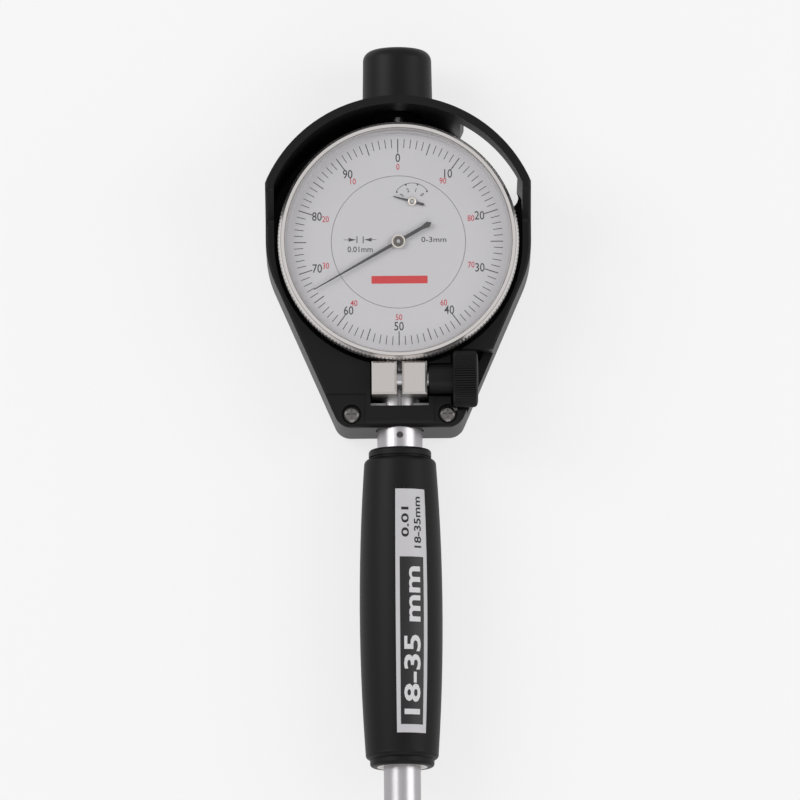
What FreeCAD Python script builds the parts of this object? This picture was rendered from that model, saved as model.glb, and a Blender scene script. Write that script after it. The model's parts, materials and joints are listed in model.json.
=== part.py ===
import FreeCAD, Part
import math
import os

from FreeCAD import Placement, Rotation, Vector

os.makedirs("parts", exist_ok=True)

# Dial bore gauge, lying on its back. X is across the dial, Y runs along the
# instrument with the cap at the +Y end, Z points out of the dial. The origin is
# on the dial's axis, on the flat back of the guard. All sizes in millimetres.

# ---------------------------------------------------------------- clearances
RUN_GAP = 0.04          # radial gap of a turning or sliding fit
SEAT_GAP = 0.02         # radial gap of a part pushed into its seat
FREE_GAP = 0.35         # gap between neighbours that must not rub
TOUCH_GAP = 0.05        # gap left where two moving parts push on each other

FAR = 60.0              # how far a cutter reaches past the piece it cuts

# --------------------------------------------------------------- leading sizes
BEZEL_RADIUS = 29.25
BEZEL_CLEARANCE = 0.9
CASE_RADIUS = BEZEL_RADIUS - 2.75
OPENING_RADIUS = BEZEL_RADIUS + BEZEL_CLEARANCE

# --------------------------------------------------------------------- guard
GUARD_RIM = 2.1
GUARD_HALF_WIDTH = OPENING_RADIUS + GUARD_RIM
HOOD_SWELL = 2.75
HOOD_RADIUS = GUARD_HALF_WIDTH + HOOD_SWELL
HOOD_WALL = 2.0
HOOD_DEPTH = 29.0
GUARD_DEPTH = 20.0
GUARD_WALL = 2.2
GUARD_FLOOR = 2.2
GUARD_PLATE = 2.6
COLLAR_HEIGHT = 8.1
COLLAR_CENTRE_Y = -BEZEL_RADIUS - 0.3 - COLLAR_HEIGHT / 2
GUARD_BOTTOM = COLLAR_CENTRE_Y - 11.4
SHOULDER_Y = -4.4
SHOULDER_RADIUS = 25.0
TAPER_ANGLE = 23.5
CORNER_RADIUS = 4.0
RAMP_LOW_Y = 5.5
RAMP_HIGH_Y = 11.8
RAMP_ROUND = 1.6
BOTTOM_ROUND = 2.2
BACK_ROUND = 1.6
FRONT_ROUND = 0.7

# Cap boss over the spindle
CAP_RADIUS = 8.6
CAP_TOP_RADIUS = 8.3
CAP_TOP_Y = HOOD_RADIUS + 13.8
CAP_ROUND = 2.6
CAP_WALL = 2.1

# Finger window in the upper right of the guard
WINDOW_START_ANGLE = 28.5
WINDOW_END_ANGLE = 62.5
WINDOW_DEPTH = 20.5
WINDOW_INNER_RADIUS = CASE_RADIUS + 0.8

# Screws that hold the guard to the neck bracket
GUARD_SCREW_X = 11.65
GUARD_SCREW_Y = GUARD_BOTTOM + 3.1
SCREW_HEAD_RADIUS = 1.9
SCREW_HEAD_HEIGHT = 1.3
SCREW_SHANK_RADIUS = 1.2
SCREW_LENGTH = 7.0
PAD_TOP_Y = GUARD_BOTTOM + 8.1
PAD_INNER_X = 8.3
PAD_STEP = 0.35
CROSS_WIDTH = 0.42
CROSS_DEPTH = 0.7

# ----------------------------------------------------- neck, clamp and tubes
AXIS_Z = 13.0
NECK_RADIUS = 5.5
NECK_TOP_Y = -BEZEL_RADIUS - 0.15
NECK_END_Y = -66.0
NECK_SLOT_WIDTH = 1.0
NECK_SLOT_END_Y = -41.0
BRACKET_TOP_Y = GUARD_BOTTOM + 6.1
BRACKET_BACK_Z = 12.4
BRACKET_HUB_WALL = 1.4
BRACKET_HALF_WIDTH = 14.0
NECK_SCREW_Y = -46.8
NECK_SCREW_RADIUS = 0.8

COLLAR_HALF_WIDTH = 6.7
COLLAR_FRONT_Z = 24.0
COLLAR_GAP = 1.34
COLLAR_CHAMFER = 0.5
COLLAR_WALL = 1.3

CLAMP_SCREW_Z = 20.8
CLAMP_SCREW_RADIUS = 2.0
CLAMP_SCREW_INSET = 0.3
KNOB_HUB_RADIUS = 3.55
KNOB_HUB_LENGTH = 5.9
KNOB_RADIUS = 6.9
KNOB_LENGTH = 6.1
KNOB_GROOVES = 36
KNOB_GROOVE_DEPTH = 0.3
KNOB_ROUND = 1.2
KNOB_SOCKET_DEPTH = 7.5
KNOB_GAP = 0.5

# -------------------------------------------------------------------- handle
HANDLE_TOP_Y = -49.8
HANDLE_BOTTOM_Y = -127.4
HANDLE_END_RING = 1.8
HANDLE_TOP_RING_RADIUS = 7.6
HANDLE_GROOVE_RADIUS = 7.1
HANDLE_GROOVE_WIDTH = 0.5
HANDLE_TOP_RADIUS = 8.75
HANDLE_MIDDLE_RADIUS = 10.05
HANDLE_LOW_RADIUS = 8.85
HANDLE_BOTTOM_RING_RADIUS = 7.8
HANDLE_ROUND = 1.4
FERRULE_RADIUS = 6.1
FERRULE_LENGTH = 6.0
FERRULE_CHAMFER = 0.6

# ------------------------------------------------------------ measuring tube
TUBE_RADIUS = 4.5
TUBE_BORE = 3.5
TUBE_INSERT = 10.0
ROD_RADIUS = 1.4
ROD_TOP_Y = -44.65
UPPER_BUSH_LENGTH = 4.8
ROD_COLLAR_Y = -186.0
ROD_COLLAR_LENGTH = 2.0
ROD_COLLAR_RADIUS = 2.9
ROD_SPRING_LENGTH = 19.0
ROD_SPRING_RADIUS = 2.3
ROD_SPRING_WIRE = 0.25
ROD_SPRING_TURNS = 6
SPRING_SEAT_LENGTH = 4.0
LOWER_BUSH_Y = -212.0
LOWER_BUSH_LENGTH = 6.0

# ---------------------------------------------------------------------- head
HEAD_AXIS_Y = -229.0
HEAD_RADIUS = 7.0
HEAD_TOP_Y = -216.0
HEAD_BOTTOM_Y = -234.0
HEAD_SOCKET_DEPTH = 6.0
HEAD_LEFT_FLAT = 5.85
HEAD_RIGHT_FLAT = 6.2
HEAD_SLOT_LEFT = -5.05
HEAD_SLOT_RIGHT = 1.8
HEAD_SLOT_TOP_Y = -223.2
HEAD_SLOT_WIDTH = 3.0
END_CAP_LENGTH = 2.2
END_CAP_SCREW_RADIUS = 1.2
END_CAP_SCREW_HEAD = 2.2
END_CAP_SCREW_X = 4.1

LEVER_ARM = 3.2
LEVER_TIP_RADIUS = 0.7
LEVER_WIDTH = 0.9
LEVER_HUB_RADIUS = 1.25
LEVER_THICKNESS = 2.0
LEVER_PIN_RADIUS = 0.6
LEVER_PIN_LENGTH = 9.0

PLUNGER_RADIUS = 1.6
PLUNGER_COLLAR_RADIUS = 1.9
PLUNGER_COLLAR_START = -5.0
PLUNGER_COLLAR_LENGTH = 0.5
PLUNGER_NOSE_RADIUS = 0.6
PLUNGER_TIP_X = -9.6
PLUNGER_BALL_RADIUS = 1.0
PLUNGER_BUSH_RADIUS = 2.4
PLUNGER_BUSH_END = -8.3
PLUNGER_BUSH_SPIGOT = 1.95

BRIDGE_BACK = -6.9
BRIDGE_THICKNESS = 1.2
BRIDGE_FOOT_X = -9.2
BRIDGE_FOOT_WIDTH = 1.8
BRIDGE_HALF_HEIGHT = 7.0
BRIDGE_HALF_WIDTH = 6.3
BRIDGE_STROKE = 0.95
BRIDGE_SCREW_SPREAD = 4.6
BRIDGE_SCREW_RADIUS = 0.75
BRIDGE_SCREW_HEAD_RADIUS = 1.15
BRIDGE_SCREW_HEAD = 0.65
BRIDGE_SCREW_END = -0.6
BRIDGE_SPRING_RADIUS = 1.08
BRIDGE_SPRING_WIRE = 0.15
BRIDGE_SPRING_TURNS = 4
SPRING_POCKET_RADIUS = 1.4
SPRING_POCKET_DEPTH = 2.6

ANVIL_THREAD_RADIUS = 2.0
ANVIL_START = 2.9
ANVIL_RADIUS = 2.8
ANVIL_SHOULDER = 7.4
ANVIL_FACE = 8.7
ANVIL_TIP_X = 9.4
NUT_ACROSS_FLATS = 7.0
NUT_THICKNESS = 1.1

# ----------------------------------------------------------------- indicator
BEZEL_SKIRT_Z = 20.6
BEZEL_FRONT_Z = 25.5
BEZEL_LEDGE_Z = 21.6
BEZEL_LIP_Z = 24.4
BEZEL_LIP_RADIUS = BEZEL_RADIUS - 1.85
BEZEL_SEAT_RADIUS = BEZEL_RADIUS - 1.45
BEZEL_FRONT_CHAMFER = 0.9
BEZEL_GROOVE = 0.5
CASE_WALL = 1.9
CASE_BACK_Z = 5.4
CASE_FRONT_Z = 20.3
CASE_FRONT_WALL = 0.8
SPIGOT_RADIUS = CASE_RADIUS + 0.2
SPIGOT_FRONT_Z = 21.5
BACK_COVER_THICKNESS = 1.8
COVER_SCREW_RADIUS = 0.9
COVER_SCREW_HEAD = 1.6
COVER_SCREW_CIRCLE = CASE_RADIUS - 3.9
COVER_SCREW_HEAD_HEIGHT = 0.7
COVER_SCREW_LENGTH = 3.0
COVER_SCREW_ANGLES = (45, 135, 225, 315)
DIAL_FRONT_Z = 22.1
DIAL_THICKNESS = 0.4
DIAL_SEAM_RADIUS = 16.3
DIAL_FOOT_RADIUS = 15.0
CRYSTAL_THICKNESS = 0.9
STEM_RADIUS = 4.0
STEM_END_Y = -42.5
STEM_START_Y = -CASE_RADIUS + 1.6
SPINDLE_RADIUS = 2.1
SPINDLE_END_Y = -40.5
SPINDLE_SHOULDER_Y = 16.5
SPINDLE_TOP_RADIUS = 1.35
SPINDLE_TOP_Y = CASE_RADIUS + 5.8
TOP_BUSH_RADIUS = 2.5
TOP_BUSH_FLANGE = 3.3
CONTACT_RADIUS = 1.7
CONTACT_THREAD_RADIUS = 1.1
CONTACT_THREAD_LENGTH = 3.0
GUIDE_PIN_Y = 14.0
GUIDE_PIN_RADIUS = 0.7
GUIDE_PIN_END_Z = 8.3

# Movement
RACK_PITCH = 0.625
RACK_TEETH = 12
RACK_PINION_TEETH = 16
WHEEL_MODULE = 0.1903
WHEEL_TEETH = 100
CENTRE_PINION_TEETH = 10
TRAIN_X = 3.4
RACK_WIDTH = 2.4
RACK_DEPTH_BEHIND_ROOT = 0.2
WHEEL_Z = 17.0
WHEEL_THICKNESS = 0.4
ARBOR_RADIUS = 0.45
BASE_PLATE_Z = 8.9
PLATE_THICKNESS = 0.9
TOP_PLATE_Z = 18.3
COCK_Z = 15.5
COCK_THICKNESS = 0.6
PLATE_RADIUS = CASE_RADIUS - 6.0
PILLAR_RADIUS = 1.3
PILLAR_CIRCLE = 17.0
PILLAR_ANGLES = (-45, 0, 135, 180)
COCK_ANGLE = -19.0
COCK_HALF_LENGTH = 15.5
HAIRSPRING_INNER = 1.0
HAIRSPRING_OUTER = 4.2
HAIRSPRING_TURNS = 3
HAIRSPRING_WIDTH = 0.12
HAIRSPRING_HEIGHT = 0.4
HAIRSPRING_Z = 17.6
RETURN_SPRING_RADIUS = 1.78
RETURN_SPRING_WIRE = 0.15
RETURN_SPRING_TURNS = 5
MAIN_HAND_Z = 22.9
COUNTER_HAND_Z = 22.35
HAND_THICKNESS = 0.15
MAIN_HAND_LENGTH = 23.6
MAIN_HAND_TAIL = 9.3
MAIN_HAND_ANGLE = 240.3
HAND_HUB_RADIUS = 1.65
HAND_BUSH_RADIUS = 1.3
HAND_BUSH_HEIGHT = 0.35
COUNTER_HAND_LENGTH = 4.7
COUNTER_HAND_TAIL = 3.1
COUNTER_HAND_ANGLE = 286.0
COUNTER_HUB_RADIUS = 0.75

# --------------------------------------------------- sizes that follow from them
PLATE_BACK_Z = GUARD_DEPTH - GUARD_PLATE
HOOD_INNER_RADIUS = HOOD_RADIUS - HOOD_WALL
RACK_MODULE = RACK_PITCH / math.pi
RACK_PINION_RADIUS = RACK_MODULE * RACK_PINION_TEETH / 2
RACK_LINE_X = -(TRAIN_X - RACK_PINION_RADIUS)
WHEEL_RADIUS = WHEEL_MODULE * WHEEL_TEETH / 2
CENTRE_PINION_RADIUS = WHEEL_MODULE * CENTRE_PINION_TEETH / 2
TRAIN_DISTANCE = WHEEL_RADIUS + CENTRE_PINION_RADIUS
TRAIN_Y = math.sqrt(TRAIN_DISTANCE ** 2 - TRAIN_X ** 2)
COUNTER_AT = Vector(TRAIN_X, TRAIN_Y, 0)
RACK_AXIS_AT = Vector(-TRAIN_X, -TRAIN_Y, 0)
LEVER_PIVOT_X = -LEVER_ARM
LEVER_PIVOT_Y = HEAD_AXIS_Y + LEVER_ARM
ROD_END_Y = LEVER_PIVOT_Y + LEVER_TIP_RADIUS + TOUCH_GAP
PLUNGER_NOSE_X = LEVER_PIVOT_X - LEVER_TIP_RADIUS - TOUCH_GAP
TOP_BUSH_INNER_Y = CASE_RADIUS - CASE_WALL - 0.4
COLLAR_TOP_Y = COLLAR_CENTRE_Y + COLLAR_HEIGHT / 2
COLLAR_BOTTOM_Y = COLLAR_CENTRE_Y - COLLAR_HEIGHT / 2
KNOB_START_X = COLLAR_HALF_WIDTH + FREE_GAP
KNOB_HEAD_X = KNOB_START_X + KNOB_HUB_LENGTH
CONTACT_END_Y = ROD_TOP_Y + TOUCH_GAP
TUBE_TOP_Y = NECK_END_Y + TUBE_INSERT
TUBE_END_Y = HEAD_TOP_Y - HEAD_SOCKET_DEPTH


# ------------------------------------------------------------------ builders
def disc(x, y, z0, z1, radius):
    """A cylinder along Z."""
    return Part.makeCylinder(radius, z1 - z0, Vector(x, y, z0))


def bar_x(x0, x1, y, z, radius):
    """A cylinder along X."""
    return Part.makeCylinder(radius, x1 - x0, Vector(x0, y, z), Vector(1, 0, 0))


def bar_y(y0, y1, radius, x=0.0, z=AXIS_Z):
    """A cylinder along Y, on the instrument's axis unless told otherwise."""
    low, high = min(y0, y1), max(y0, y1)
    return Part.makeCylinder(radius, high - low, Vector(x, low, z), Vector(0, 1, 0))


def block(x0, x1, y0, y1, z0, z1):
    """A box between two corners."""
    low = Vector(min(x0, x1), min(y0, y1), min(z0, z1))
    return Part.makeBox(abs(x1 - x0), abs(y1 - y0), abs(z1 - z0), low)


def turned(edges_points, origin, radial, along):
    """Turn a closed outline of (radius, height) points round the line along."""
    points = [origin + radial * r + along * h for r, h in edges_points]
    points.append(points[0])
    face = Part.Face(Part.makePolygon(points))
    return face.revolve(origin, along, 360)


def turned_y(points):
    """Turn (radius, y) points about the instrument's axis."""
    return turned(points, Vector(0, 0, AXIS_Z), Vector(1, 0, 0), Vector(0, 1, 0))


def turned_z(points, centre=Vector(0, 0, 0)):
    """Turn (radius, z) points about an axis parallel to the dial's."""
    return turned(points, centre, Vector(1, 0, 0), Vector(0, 0, 1))


def turned_x(points, y, z):
    """Turn (radius, x) points about a cross axis."""
    return turned(points, Vector(0, y, z), Vector(0, 1, 0), Vector(1, 0, 0))


def polar(radius, degrees, z=0.0):
    """The point at a radius and an angle from +X."""
    angle = math.radians(degrees)
    return Vector(radius * math.cos(angle), radius * math.sin(angle), z)


def rounded_wire(corners):
    """A closed wire through (point, radius) corners, each rounded by an arc."""
    count = len(corners)
    stops = []
    for index, (corner, radius) in enumerate(corners):
        before = corners[index - 1][0]
        after = corners[(index + 1) % count][0]
        into = (before - corner).normalize()
        out = (after - corner).normalize()
        if radius <= 0:
            stops.append((corner, None, corner))
            continue
        half = into.getAngle(out) / 2
        reach = radius / math.tan(half)
        bisector = (into + out).normalize()
        centre = corner + bisector * (radius / math.sin(half))
        middle = centre - bisector * radius
        stops.append((corner + into * reach, middle, corner + out * reach))
    edges = []
    for index, (start, middle, end) in enumerate(stops):
        if middle is not None:
            edges.append(Part.Arc(start, middle, end).toShape())
        following = stops[(index + 1) % count][0]
        if end.distanceToPoint(following) > 1e-6:
            edges.append(Part.LineSegment(end, following).toShape())
    return Part.Wire(Part.__sortEdges__(edges))


def hexagon_prism(x0, x1, y, z, across_flats):
    """A hexagonal bar along X."""
    radius = across_flats / math.sqrt(3)
    points = []
    for index in range(7):
        angle = math.radians(60 * index)
        points.append(Vector(x0, y + radius * math.cos(angle), z + radius * math.sin(angle)))
    return Part.Face(Part.makePolygon(points)).extrude(Vector(x1 - x0, 0, 0))


def coil(start, direction, radius, wire, length, turns):
    """A compression spring of six-sided wire, from start along direction."""
    pitch = (length - 2 * wire) / turns
    helix = Part.makeHelix(pitch, pitch * turns, radius)
    points = []
    for index in range(7):
        angle = math.radians(60 * index)
        points.append(Vector(radius + wire * math.cos(angle), 0, wire * math.sin(angle)))
    profile = Part.makePolygon(points)
    spring = Part.Wire(helix.Edges).makePipeShell([profile], True, True)
    spring.translate(Vector(0, 0, wire))
    spring.Placement = Placement(start, Rotation(Vector(0, 0, 1), direction)) * spring.Placement
    return spring


def gear(centre, teeth, module, z0, thickness, tooth_angle, bore):
    """A spur gear with straight-sided teeth, one of them centred on tooth_angle."""
    pitch_radius = module * teeth / 2
    tip_radius = pitch_radius + 0.8 * module
    root_radius = pitch_radius - 1.1 * module
    step = 2 * math.pi / teeth
    points = []
    for index in range(teeth):
        middle = math.radians(tooth_angle) + index * step
        for radius, half in (
            (root_radius, 0.30 * step),
            (tip_radius, 0.13 * step),
            (tip_radius, -0.13 * step),
            (root_radius, -0.30 * step),
        ):
            angle = middle - half
            points.append(Vector(radius * math.cos(angle), radius * math.sin(angle), 0))
    points.append(points[0])
    wheel = Part.Face(Part.makePolygon(points)).extrude(Vector(0, 0, thickness))
    if bore > 0:
        wheel = wheel.cut(disc(0, 0, -1, thickness + 1, bore))
    wheel.translate(Vector(centre.x, centre.y, z0))
    return wheel


def save(node, shape):
    """Write one sub-part."""
    shape.exportStep("parts/" + node + ".step")


# --------------------------------------------------------------------- guard
def guard_outline():
    """The guard seen from the front: round hood, straight sides, tapered foot."""
    corner_y = math.sqrt(HOOD_RADIUS ** 2 - GUARD_HALF_WIDTH ** 2)
    lean = math.radians(TAPER_ANGLE)
    foot_half = GUARD_HALF_WIDTH - (SHOULDER_Y - GUARD_BOTTOM) * math.tan(lean)
    right = Vector(GUARD_HALF_WIDTH, corner_y, 0)
    left = Vector(-GUARD_HALF_WIDTH, corner_y, 0)
    lower = rounded_wire([
        (right, 0),
        (left, 0),
        (Vector(-GUARD_HALF_WIDTH, SHOULDER_Y, 0), SHOULDER_RADIUS),
        (Vector(-foot_half, GUARD_BOTTOM, 0), CORNER_RADIUS),
        (Vector(foot_half, GUARD_BOTTOM, 0), CORNER_RADIUS),
        (Vector(GUARD_HALF_WIDTH, SHOULDER_Y, 0), SHOULDER_RADIUS),
    ])
    edges = []
    for edge in lower.Edges:
        across = abs(edge.Vertexes[0].Y - corner_y) + abs(edge.Vertexes[1].Y - corner_y)
        if across > 1e-6:
            edges.append(edge)
    edges.append(Part.Arc(right, Vector(0, HOOD_RADIUS, 0), left).toShape())
    return Part.Wire(Part.__sortEdges__(edges))


def guard_side_profile():
    """The guard seen from the side: deep hood, ramp, shallow foot."""
    reach = HOOD_RADIUS + 1
    corners = [
        (Vector(0, GUARD_BOTTOM, 0), 0),
        (Vector(0, GUARD_BOTTOM, GUARD_DEPTH), BOTTOM_ROUND),
        (Vector(0, RAMP_LOW_Y, GUARD_DEPTH), RAMP_ROUND),
        (Vector(0, RAMP_HIGH_Y, HOOD_DEPTH), RAMP_ROUND),
        (Vector(0, reach, HOOD_DEPTH), 0),
        (Vector(0, reach, 0), 0),
    ]
    face = Part.Face(rounded_wire(corners))
    face.translate(Vector(-HOOD_RADIUS - 1, 0, 0))
    return face.extrude(Vector(2 * (HOOD_RADIUS + 1), 0, 0))


def front_opening(z0, z1):
    """The opening that the bezel looks out of."""
    half = OPENING_RADIUS
    top_y = math.sqrt(HOOD_INNER_RADIUS ** 2 - half ** 2)
    edges = [
        Part.Arc(Vector(half, top_y, 0), Vector(0, HOOD_INNER_RADIUS, 0), Vector(-half, top_y, 0)),
        Part.LineSegment(Vector(-half, top_y, 0), Vector(-half, 0, 0)),
        Part.Arc(Vector(-half, 0, 0), Vector(0, -half, 0), Vector(half, 0, 0)),
        Part.LineSegment(Vector(half, 0, 0), Vector(half, top_y, 0)),
    ]
    face = Part.Face(Part.Wire([edge.toShape() for edge in edges]))
    face.translate(Vector(0, 0, z0))
    return face.extrude(Vector(0, 0, z1 - z0))


def window_cutter():
    """A curved slot through the side and the back of the hood."""
    top = WINDOW_DEPTH + 1
    ring = disc(0, 0, -1, WINDOW_DEPTH, HOOD_RADIUS + 3).cut(
        disc(0, 0, -2, top, WINDOW_INNER_RADIUS))
    reach = 2 * HOOD_RADIUS
    wedge = Part.Face(Part.makePolygon([
        Vector(0, 0, -1),
        polar(reach, WINDOW_START_ANGLE, -1),
        polar(reach, WINDOW_END_ANGLE, -1),
        Vector(0, 0, -1),
    ])).extrude(Vector(0, 0, top))
    slot = ring.common(wedge)
    middle = (WINDOW_INNER_RADIUS + HOOD_INNER_RADIUS) / 2
    half = (HOOD_INNER_RADIUS - WINDOW_INNER_RADIUS) / 2
    for angle in (WINDOW_START_ANGLE, WINDOW_END_ANGLE):
        end = polar(middle, angle)
        slot = slot.fuse(disc(end.x, end.y, -1, WINDOW_DEPTH, half))
    return slot


def cap_boss():
    """The tapered cap over the spindle's upper end."""
    root_y = HOOD_INNER_RADIUS - HOOD_WALL
    solid = turned_y([
        (0, root_y),
        (CAP_RADIUS, root_y),
        (CAP_TOP_RADIUS, CAP_TOP_Y),
        (0, CAP_TOP_Y),
    ])
    rim = [e for e in solid.Edges if e.BoundBox.YMin > CAP_TOP_Y - 0.01 and e.Closed]
    return solid.makeFillet(CAP_ROUND, rim)


def guard_shell():
    """The moulded guard: one shell with hood, cap, window and clamp recess."""
    outline = guard_outline()
    outer = Part.Face(outline).extrude(Vector(0, 0, HOOD_DEPTH))
    outer = outer.makeFillet(BACK_ROUND, [e for e in outer.Edges if e.BoundBox.ZMax < 0.01])
    shell = outer.common(guard_side_profile())
    front_z = GUARD_DEPTH - BOTTOM_ROUND - 0.1
    rims = [e for e in shell.Edges if e.BoundBox.ZMin > front_z and e.BoundBox.XLength > 0.01
            and e.BoundBox.XLength < 2 * GUARD_HALF_WIDTH - 0.5]
    shell = shell.makeFillet(FRONT_ROUND, rims)
    shell = shell.fuse(cap_boss())
    inner = Part.Face(outline.makeOffset2D(-GUARD_WALL))
    inner.translate(Vector(0, 0, GUARD_FLOOR))
    cavity = inner.extrude(Vector(0, 0, PLATE_BACK_Z - GUARD_FLOOR))
    shell = shell.cut(cavity)
    shell = shell.cut(front_opening(GUARD_FLOOR, HOOD_DEPTH + 1))
    shell = shell.cut(window_cutter())
    cap_bore = CAP_TOP_RADIUS - CAP_WALL
    shell = shell.cut(bar_y(HOOD_INNER_RADIUS - 2 * HOOD_WALL, CAP_TOP_Y - CAP_WALL, cap_bore))
    # clamp recess and knob recess
    recess_half = COLLAR_HALF_WIDTH + FREE_GAP
    recess_low = COLLAR_BOTTOM_Y - 2.2
    shell = shell.cut(block(-recess_half, recess_half, recess_low, 0, PLATE_BACK_Z - 1, FAR))
    hub_reach = KNOB_HUB_RADIUS + KNOB_GAP
    shell = shell.cut(block(0, KNOB_HEAD_X, COLLAR_CENTRE_Y - hub_reach, COLLAR_CENTRE_Y + hub_reach,
                            CLAMP_SCREW_Z - hub_reach, FAR))
    knob_reach = KNOB_RADIUS + KNOB_GAP
    shell = shell.cut(block(KNOB_HEAD_X - KNOB_GAP, HOOD_RADIUS, COLLAR_CENTRE_Y - knob_reach,
                            COLLAR_CENTRE_Y + knob_reach, CLAMP_SCREW_Z - knob_reach, FAR))
    # neck hole, recessed screw pads and their holes
    shell = shell.cut(bar_y(GUARD_BOTTOM - 1, recess_low + 1, NECK_RADIUS + FREE_GAP))
    for side in (-1, 1):
        shell = shell.cut(block(side * PAD_INNER_X, side * HOOD_RADIUS, GUARD_BOTTOM - 1, PAD_TOP_Y,
                                GUARD_DEPTH - PAD_STEP, FAR))
        x = side * GUARD_SCREW_X
        seat_z = GUARD_DEPTH - PAD_STEP - SCREW_HEAD_HEIGHT
        shell = shell.cut(disc(x, GUARD_SCREW_Y, seat_z, FAR, SCREW_HEAD_RADIUS + KNOB_GAP))
        shell = shell.cut(disc(x, GUARD_SCREW_Y, seat_z - SCREW_LENGTH - 1, FAR,
                               SCREW_SHANK_RADIUS + FREE_GAP))
    return shell


def guard_screws():
    """Two cross-recessed screws, each with a domed head."""
    seat_z = GUARD_DEPTH - PAD_STEP - SCREW_HEAD_HEIGHT
    screws = []
    for side in (-1, 1):
        centre = Vector(side * GUARD_SCREW_X, GUARD_SCREW_Y, 0)
        top_z = seat_z + SCREW_HEAD_HEIGHT
        screw = turned_z([
            (0, seat_z - SCREW_LENGTH),
            (SCREW_SHANK_RADIUS, seat_z - SCREW_LENGTH + 0.3),
            (SCREW_SHANK_RADIUS, seat_z),
            (SCREW_HEAD_RADIUS, seat_z),
            (SCREW_HEAD_RADIUS, top_z - 0.5),
            (SCREW_HEAD_RADIUS * 0.7, top_z - 0.1),
            (0, top_z),
        ], centre)
        reach = SCREW_HEAD_RADIUS * 0.62
        half = CROSS_WIDTH / 2
        floor_z = top_z - CROSS_DEPTH
        screw = screw.cut(block(centre.x - reach, centre.x + reach, centre.y - half, centre.y + half,
                                floor_z, top_z + 1))
        screw = screw.cut(block(centre.x - half, centre.x + half, centre.y - reach, centre.y + reach,
                                floor_z, top_z + 1))
        screws.append(screw)
    return Part.makeCompound(screws)


# ------------------------------------------------------------- neck and clamp
def neck_tube():
    """The split neck that grips the indicator's stem."""
    neck = bar_y(NECK_END_Y, NECK_TOP_Y, NECK_RADIUS)
    neck = neck.cut(bar_y(NECK_END_Y - 1, NECK_TOP_Y + 1, STEM_RADIUS + RUN_GAP))
    neck = neck.cut(bar_y(NECK_END_Y - 1, TUBE_TOP_Y, TUBE_RADIUS + SEAT_GAP))
    half = NECK_SLOT_WIDTH / 2
    neck = neck.cut(block(-half, half, NECK_SLOT_END_Y, NECK_TOP_Y + 1, AXIS_Z, AXIS_Z + 2 * NECK_RADIUS))
    return neck.cut(disc(0, NECK_SCREW_Y, AXIS_Z, AXIS_Z + 2 * NECK_RADIUS, NECK_SCREW_RADIUS))


def neck_bracket():
    """The metal bracket on the neck that the guard's screws bite into."""
    bottom = GUARD_BOTTOM + GUARD_WALL
    hub = bar_y(bottom, BRACKET_TOP_Y, NECK_RADIUS + BRACKET_HUB_WALL)
    front = PLATE_BACK_Z
    ears = block(-BRACKET_HALF_WIDTH, BRACKET_HALF_WIDTH, bottom, BRACKET_TOP_Y, BRACKET_BACK_Z, front)
    bracket = hub.common(block(-FAR, FAR, -FAR, 0, 0, front)).fuse(ears)
    bracket = bracket.cut(bar_y(bottom - 1, BRACKET_TOP_Y + 1, NECK_RADIUS + SEAT_GAP))
    for side in (-1, 1):
        bracket = bracket.cut(disc(side * GUARD_SCREW_X, GUARD_SCREW_Y, 0, FAR,
                                   SCREW_SHANK_RADIUS + SEAT_GAP))
    knob_room = bar_x(KNOB_HEAD_X - KNOB_GAP, HOOD_RADIUS, COLLAR_CENTRE_Y, CLAMP_SCREW_Z,
                      KNOB_RADIUS + KNOB_GAP)
    bracket = bracket.cut(knob_room)
    inner = Part.Face(guard_outline().makeOffset2D(-GUARD_WALL)).extrude(Vector(0, 0, HOOD_DEPTH))
    return bracket.common(inner)


def neck_set_screw():
    """The grub screw that locks the upper bush in the neck."""
    bottom = AXIS_Z + STEM_RADIUS
    top = AXIS_Z + NECK_RADIUS - 0.35
    screw = disc(0, NECK_SCREW_Y, bottom, top, NECK_SCREW_RADIUS - SEAT_GAP)
    return screw.cut(block(-1, 1, NECK_SCREW_Y - 0.12, NECK_SCREW_Y + 0.12, top - 0.4, top + 1))


def clamp_collar():
    """The split clamp block with its two ears."""
    back = bar_y(COLLAR_BOTTOM_Y, COLLAR_TOP_Y, NECK_RADIUS + COLLAR_WALL)
    back = back.common(block(-COLLAR_HALF_WIDTH, COLLAR_HALF_WIDTH, COLLAR_BOTTOM_Y, COLLAR_TOP_Y, 0, FAR))
    front = block(-COLLAR_HALF_WIDTH, COLLAR_HALF_WIDTH, COLLAR_BOTTOM_Y, COLLAR_TOP_Y,
                  AXIS_Z, COLLAR_FRONT_Z)
    half = COLLAR_GAP / 2
    front = front.cut(block(-half, half, COLLAR_BOTTOM_Y - 1, COLLAR_TOP_Y + 1, AXIS_Z, FAR))
    rims = [e for e in front.Edges if e.BoundBox.ZMin > COLLAR_FRONT_Z - 0.01]
    front = front.makeChamfer(COLLAR_CHAMFER, rims)
    collar = back.fuse(front)
    collar = collar.cut(block(-half, half, COLLAR_BOTTOM_Y - 1, COLLAR_TOP_Y + 1, AXIS_Z, FAR))
    collar = collar.cut(bar_y(COLLAR_BOTTOM_Y - 1, COLLAR_TOP_Y + 1, NECK_RADIUS + SEAT_GAP))
    hole = bar_x(-FAR, FAR, COLLAR_CENTRE_Y, CLAMP_SCREW_Z, CLAMP_SCREW_RADIUS + RUN_GAP)
    return collar.cut(hole).removeSplitter()


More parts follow.
